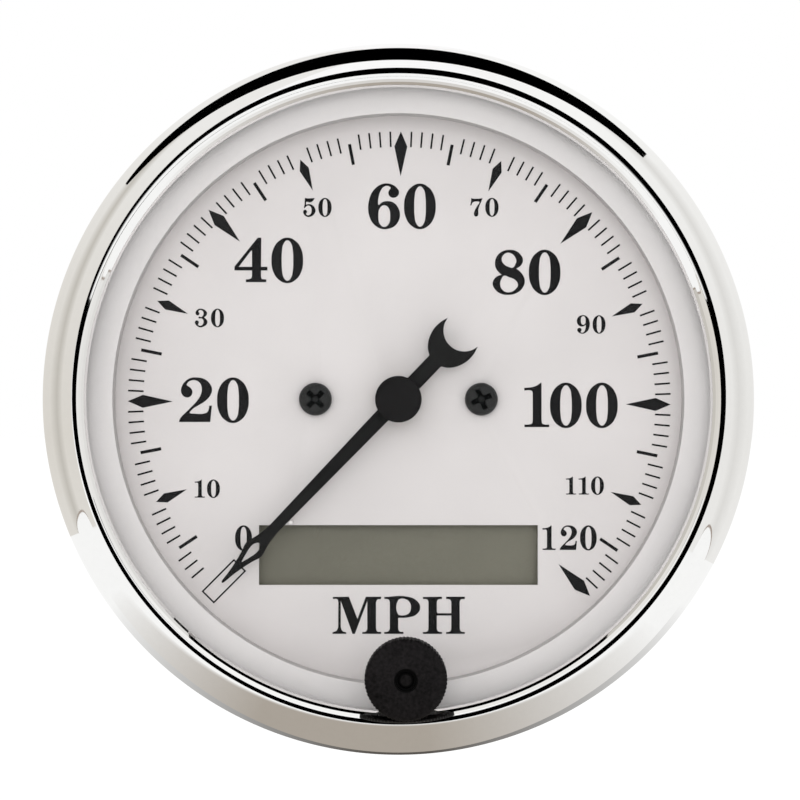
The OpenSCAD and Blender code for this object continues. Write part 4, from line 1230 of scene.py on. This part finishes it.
@dataclass
class CaseShell(Assembly):
    """Steel cup with its studs, washers and nuts."""

    wardrobe: Wardrobe = {"threaded_studs": STEEL, "light_tube": TUBE_WHITE}

    copies: Copies = (
        Copy("case_cup", "case_paint", "case", ENAMEL, 0.14),
        Copy("flat_washers", "steel", "stud_washers", STEEL, 0.15),
        Copy("hex_nuts", "steel", "stud_nuts", STEEL, 0.3, 3),
    )
    stud_x: float = 22.0
    stud_facets: int = 48
    head_r: float = 4.5
    head_edge: float = 0.5
    head_steps: int = 5
    head_z: float = -45.2
    floor_z: float = -47.2
    root_r: float = 2.15
    nut_rear: float = -52.2
    end_z: float = -74.0
    crest_r: float = 2.4
    valley_r: float = 1.98
    pitch: float = 0.8
    crest_flat: float = 0.12
    lead_in: float = 0.5
    tip_share: float = 0.8
    spare_turns: int = 3
    thread_steps: int = 20

    def thread(self) -> Mesh:
        """Winds one stud's thread and cuts it to length.

        Returns:
            The thread's mesh.
        """
        mesh = bmesh.new()
        turns = math.ceil((self.nut_rear - self.end_z) / self.pitch) + self.spare_turns
        start = self.end_z - self.pitch * self.spare_turns / 2.0
        flank = (self.pitch - self.crest_flat) / 2.0
        section = (
            (self.valley_r, start), (self.crest_r, start + flank),
            (self.crest_r, start + flank + self.crest_flat), (self.valley_r, start + self.pitch),
        )
        verts = [mesh.verts.new((r, 0.0, z)) for r, z in section]
        for a, b in zip(verts, verts[1:]):
            mesh.edges.new((a, b))
        wind(mesh, self.thread_steps * turns, turns, self.pitch / self.thread_steps)
        bmesh.ops.remove_doubles(mesh, verts=mesh.verts, dist=WELD_MM * 10.0)
        for height, way in ((self.nut_rear, 1.0), (self.end_z + self.lead_in, -1.0)):
            bmesh.ops.bisect_plane(
                mesh, geom=whole(mesh), plane_co=(0.0, 0.0, height), plane_no=(0.0, 0.0, way),
                clear_outer=True,
            )
        caps = bmesh.ops.holes_fill(mesh, edges=[e for e in mesh.edges if e.is_boundary])["faces"]
        tip = min(caps, key=lambda face: face.calc_center_median().z)
        raised = bmesh.ops.extrude_face_region(mesh, geom=[tip])["geom"]
        tip_verts = verts_in(raised)
        bmesh.ops.scale(mesh, vec=(self.tip_share, self.tip_share, 1.0), verts=tip_verts)
        bmesh.ops.translate(mesh, vec=(0.0, 0.0, -self.lead_in), verts=tip_verts)
        bmesh.ops.delete(mesh, geom=[f for f in mesh.faces if f is tip], context="FACES_ONLY")
        return mended(mesh)

    def stud(self) -> Mesh:
        """Draws one stud: its head, its plain root and its thread.

        Returns:
            The stud's mesh, on the axis.
        """
        wire = Section(0.0, self.head_z)
        flat_r, edge_z = self.head_r - self.head_edge, self.head_z - self.head_edge
        wire.lines((flat_r, self.head_z))
        wire.arc(flat_r, edge_z, -90.0, self.head_steps)
        wire.lines(
            (self.head_r, self.floor_z), (self.root_r, self.floor_z), (self.root_r, self.nut_rear),
            (0.0, self.nut_rear),
        )
        mesh = wire.turned(self.stud_facets)
        wound = self.thread()
        data = bpy.data.meshes.new("thread")
        wound.to_mesh(data)
        wound.free()
        mesh.from_mesh(data)
        bpy.data.meshes.remove(data)
        return mesh

    def studs(self) -> Mesh:
        """Draws both studs.

        Returns:
            The studs' mesh.
        """
        mesh = self.stud()
        bmesh.ops.translate(mesh, vec=(-self.stud_x, 0.0, 0.0), verts=mesh.verts)
        copy = verts_in(bmesh.ops.duplicate(mesh, geom=whole(mesh))["geom"])
        bmesh.ops.translate(mesh, vec=(2.0 * self.stud_x, 0.0, 0.0), verts=copy)
        return mesh

    def build(self) -> None:
        """Makes the cup and its fasteners."""
        super().build()
        self.add_gauge(self.studs(), "threaded_studs", "steel", "mounting_studs")


@dataclass
class DialLamp(Assembly):
    """Twist-in lamp at the rear."""

    body: str = "lamp"
    copies: Copies = (
        Copy("twist_holder", "holder_nylon", "lamp_holder", HOLDER_NYLON, 0.3, 3),
        Copy("wedge_bulb", "bulb_glass", "lamp_bulb", BULB_GLASS, 0.1),
        Copy("lamp_blades", "brass", "lamp_contacts", BRASS, 0.1, taper=0.7),
    )


@dataclass
class Terminals(Assembly):
    """Block with four blades, held by two rivets."""

    wardrobe: Wardrobe = {"board_leads": LEAD_RED}

    copies: Copies = (
        Copy("blade_block", "black_moulding", "terminal_block", MOULDING, 0.3, 3),
        Copy("block_blades", "brass", "blade_terminals", BRASS, 0.1, taper=0.9),
        Copy("round_rivets", "steel", "block_rivets", STEEL, 0.08),
    )


@dataclass
class Works(Assembly):
    """Movement, display and board inside the case, where only the display shows."""

    wardrobe: Wardrobe = {
        "lcd_frame": MOULDING, "contact_strips": RUBBER,
        "lcd_backlight": TUBE_WHITE, "main_board": BOARD, "board_screws": STEEL,
        "controller_chip": MOULDING, "crystal": ALLOY, "capacitors": SLEEVE,
        "voltage_regulator": MOULDING, "movement_plate": ALLOY, "bobbin_front": NYLON,
        "bobbin_rear": NYLON, "inner_coil": WINDING, "outer_coil": WINDING, "flux_can": STEEL,
        "front_bush": BRASS, "rear_bush": BRASS, "hairspring": BRASS, "hairspring_stud": BRASS,
    }

    copies: Copies = (Copy("display_panel", "display_glass", "lcd_glass", DISPLAY, 0.12),)


class Axis(Enum):
    """The row's axes, as outputs of Separate XYZ."""

    X = 0
    Y = 1
    Z = 2


WHITE = (0.97, 0.97, 0.965)
BLACK = (0.0, 0.0, 0.0)
RIM_BROWN = (0.36, 0.3, 0.26)
PURE_WHITE = (1.0, 1.0, 1.0, 1.0)
FACING = (90.0, 0.0, 0.0)
BESIDE = (0.0, 90.0, 0.0)


@dataclass(frozen=True)
class Fade:
    """A shade that a card takes on along an axis, on both sides of a place."""

    colour: Triple
    axis: Axis
    start: float
    end: float
    place: float = 0.0


@dataclass(frozen=True)
class Card:
    """Oval, oblong or bow-shaped sheet that bright metal mirrors.

    A bow has a sweep in degrees, and its half sizes are its two radii.
    """

    name: str
    colour: Triple
    centre: Triple
    half: Pair
    turn: Triple = (0.0, 0.0, 0.0)
    sides: int = 64
    sweep: float = 0.0
    fades: tuple[Fade, ...] = ()

    def build(self) -> None:
        """Makes the sheet, which only reflections show."""
        mesh = bmesh.new()
        place = Matrix.Translation(self.centre)
        for angle, axis in zip(self.turn, "XYZ"):
            place = place @ Matrix.Rotation(math.radians(angle), 4, axis)
        shape = Matrix.Diagonal((*self.half, 1.0, 1.0))
        if self.sweep:
            ends = [mesh.verts.new(place @ Vector((r, 0.0, 0.0))) for r in self.half]
            bmesh.ops.spin(
                mesh, geom=[*ends, mesh.edges.new(ends)], cent=self.centre, steps=self.sides,
                axis=place.to_3x3() @ Vector((0.0, 0.0, 1.0)), angle=math.radians(self.sweep),
            )
        elif self.sides == 4:
            bmesh.ops.create_grid(mesh, x_segments=1, y_segments=1, size=1.0, matrix=place @ shape)
        else:
            bmesh.ops.create_circle(
                mesh, cap_ends=True, segments=self.sides, radius=1.0, matrix=place @ shape
            )
        sheet = placed(self.name, mesh)
        sheet.data.materials.append(self.glow())
        sheet.visible_camera = False
        sheet.visible_diffuse = False
        sheet.visible_shadow = False
        sheet.visible_transmission = False

    def glow(self) -> bpy.types.Material:
        """Makes the sheet's shade, with its fades.

        Returns:
            The new material.
        """
        material = bpy.data.materials.new(self.name)
        shade = Shading(material)
        colour = (*self.colour, 1.0)
        for fade in self.fades:
            along = shade.add("ShaderNodeSeparateXYZ", {0: shade.place()}, fade.axis.value)
            reach = shade.maths("ABSOLUTE", shade.maths("SUBTRACT", along, fade.place))
            share = shade.ramp(reach, (fade.start, fade.end))
            colour = shade.mix(share, colour, (*fade.colour, 1.0))
        shade.feed(SHADER, {
            "Base Color": (*BLACK, 1.0), "Specular IOR Level": 0.0, "Emission Color": colour,
            "Emission Strength": 1.0,
        })
        return material


@dataclass(frozen=True)
class SoftLamp:
    """Square soft lamp, aimed at the gauge."""

    name: str
    at: Triple
    watts: float
    size: float

    def build(self) -> None:
        """Hangs the lamp."""
        light = bpy.data.lights.new(self.name, "AREA")
        light.energy = self.watts
        light.size = self.size
        lamp = bpy.data.objects.new(self.name, light)
        lamp.location = self.at
        lamp.rotation_euler = (-Vector(self.at)).to_track_quat("-Z", "Y").to_euler()
        lamp.visible_glossy = False
        bpy.context.scene.collection.objects.link(lamp)


@dataclass
class Studio:
    """Pale floor, soft light, mirror cards and the camera."""

    floor_z: float = -0.08
    floor_half: float = 8.0
    floor_shade: float = 0.85
    floor_glow: float = 0.28
    sky: float = 0.9
    eye: Triple = (0.0002, -0.5043, -0.0001)
    focal_mm: float = 186.7
    sensor_mm: float = 36.0
    clip: Pair = (0.01, 50.0)
    lamps: tuple[SoftLamp, ...] = (
        SoftLamp("key", (0.05, -0.95, 0.12), 2.45, 0.5),
        SoftLamp("fill", (-0.35, -0.9, 0.25), 0.9, 0.7),
    )
    cards: tuple[Card, ...] = (
        Card("camera_shade", BLACK, (0.009, -0.25, 0.045), (0.09, 0.105), FACING),
        Card(
            "crest_light", WHITE, (0.0, -0.08, 0.0), (0.011, 0.0465), (90.0, 0.0, 18.0),
            sweep=144.0, fades=(Fade(BLACK, Axis.X, 0.025, 0.038, -0.003),),
        ),
        Card("overhead_shade", BLACK, (0.0, -0.03, 0.15), (0.2, 0.064)),
        Card("white_card", WHITE, (0.0, -0.2, -0.0795), (0.9, 1.0), sides=4),
        Card(
            "low_card", (0.42, 0.378, 0.33), (0.0, -0.0415, -0.046), (0.07, 0.0385), sides=4,
            fades=(
                Fade(WHITE, Axis.Y, 0.045, 0.085), Fade(WHITE, Axis.X, 0.012, 0.06, -0.008),
            ),
        ),
        Card(
            "low_shade", (0.1, 0.09, 0.08), (0.0, 0.047, -0.046), (0.07, 0.05), sides=4,
            fades=(Fade(WHITE, Axis.X, 0.004, 0.064),),
        ),
        Card(
            "left_card", (0.72, 0.69, 0.64), (-0.19, -0.02, 0.92), (1.0, 0.9), BESIDE, 4,
            fades=(
                Fade((0.88, 0.87, 0.85), Axis.Z, 0.0, 0.25, -0.02),
                Fade((0.56, 0.535, 0.49), Axis.Y, 0.09, 0.0, -0.09),
            ),
        ),
        Card("left_rim", RIM_BROWN, (-0.189, -0.2, -0.0795), (0.0137, 0.171), BESIDE),
        Card("left_tongue", WHITE, (-0.188, -0.2, -0.0795), (0.0125, 0.17), BESIDE),
        Card(
            "right_card", (0.84, 0.83, 0.81), (0.152, -0.02, 0.92), (1.0, 0.9), BESIDE, 4,
            fades=(
                Fade((0.97, 0.97, 0.96), Axis.Z, 0.0, 0.25, -0.02),
                Fade((0.75, 0.74, 0.72), Axis.Y, 0.09, 0.0, -0.08),
            ),
        ),
        Card("right_rim", RIM_BROWN, (0.151, -0.16, -0.0795), (0.0187, 0.131), BESIDE),
        Card("right_tongue", WHITE, (0.15, -0.16, -0.0795), (0.0175, 0.13), BESIDE),
    )

    @staticmethod
    def seen(shade: Shading) -> Socket:
        """Adds a socket that is one for camera, glossy and transmission rays.

        Args:
            shade: A world's or material's node tree.

        Returns:
            The socket.
        """
        kind = "ShaderNodeLightPath"
        total = shade.add(kind, {}, "Is Camera Ray")
        for ray in ("Is Glossy Ray", "Is Transmission Ray"):
            total = shade.maths("MAXIMUM", total, shade.add(kind, {}, ray))
        return total

    def lay_floor(self) -> None:
        """Lays the floor, which keeps the object's shadow."""
        mesh = bmesh.new()
        bmesh.ops.create_grid(
            mesh, x_segments=1, y_segments=1, size=self.floor_half,
            matrix=Matrix.Translation((0.0, 0.0, self.floor_z)),
        )
        floor = placed("floor", mesh)
        material = bpy.data.materials.new("pale_floor")
        shade = Shading(material)
        shade.feed(SHADER, {
            "Base Color": (self.floor_shade, self.floor_shade, self.floor_shade, 1.0),
            "Roughness": 1.0, "Specular IOR Level": 0.0, "Emission Color": PURE_WHITE,
            "Emission Strength": shade.maths("MULTIPLY", self.seen(shade), self.floor_glow),
        })
        floor.data.materials.append(material)

    def light_world(self) -> None:
        """Sets the white surroundings and their plain level of light."""
        world = bpy.data.worlds.new("white_room")
        bpy.context.scene.world = world
        shade = Shading(world)
        shade.feed("Background", {"Color": PURE_WHITE, "Strength": self.sky})
        plain = shade.tree.nodes["Background"].outputs[0]
        white = shade.add("ShaderNodeBackground", {"Color": PURE_WHITE})
        both = shade.add("ShaderNodeMixShader", {0: self.seen(shade), 1: plain, 2: white})
        shade.feed("World Output", {"Surface": both})

    def set_camera(self) -> None:
        """Sets the camera square to the dial."""
        lens = bpy.data.cameras.new("camera")
        lens.lens = self.focal_mm
        lens.sensor_width = self.sensor_mm
        lens.clip_start, lens.clip_end = self.clip
        camera = bpy.data.objects.new("camera", lens)
        camera.location = self.eye
        camera.rotation_euler = (math.pi / 2.0, 0.0, 0.0)
        bpy.context.scene.collection.objects.link(camera)
        bpy.context.scene.camera = camera

    def build(self) -> None:
        """Sets up the whole studio."""
        bpy.context.scene.view_settings.view_transform = "Standard"
        self.set_camera()
        self.lay_floor()
        self.light_world()
        for fitting in (*self.lamps, *self.cards):
            fitting.build()


def main() -> None:
    """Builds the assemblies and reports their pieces."""
    logging.basicConfig(level=logging.INFO, format="%(message)s")
    Studio().build()
    assemblies = (
        Bezel(), Glazing(), Dial(), Pointer(), TripButton(), ButtonGuide(), CaseShell(), DialLamp(),
        Terminals(), Works(),
    )
    for assembly in assemblies:
        assembly.build()
        assembly.dress()
        for piece in assembly.pieces:
            faces = len(piece.data.polygons)
            LOG.info("%s rides on %s, %d faces", piece.name, assembly.body, faces)


if __name__ == "__main__":
    main()
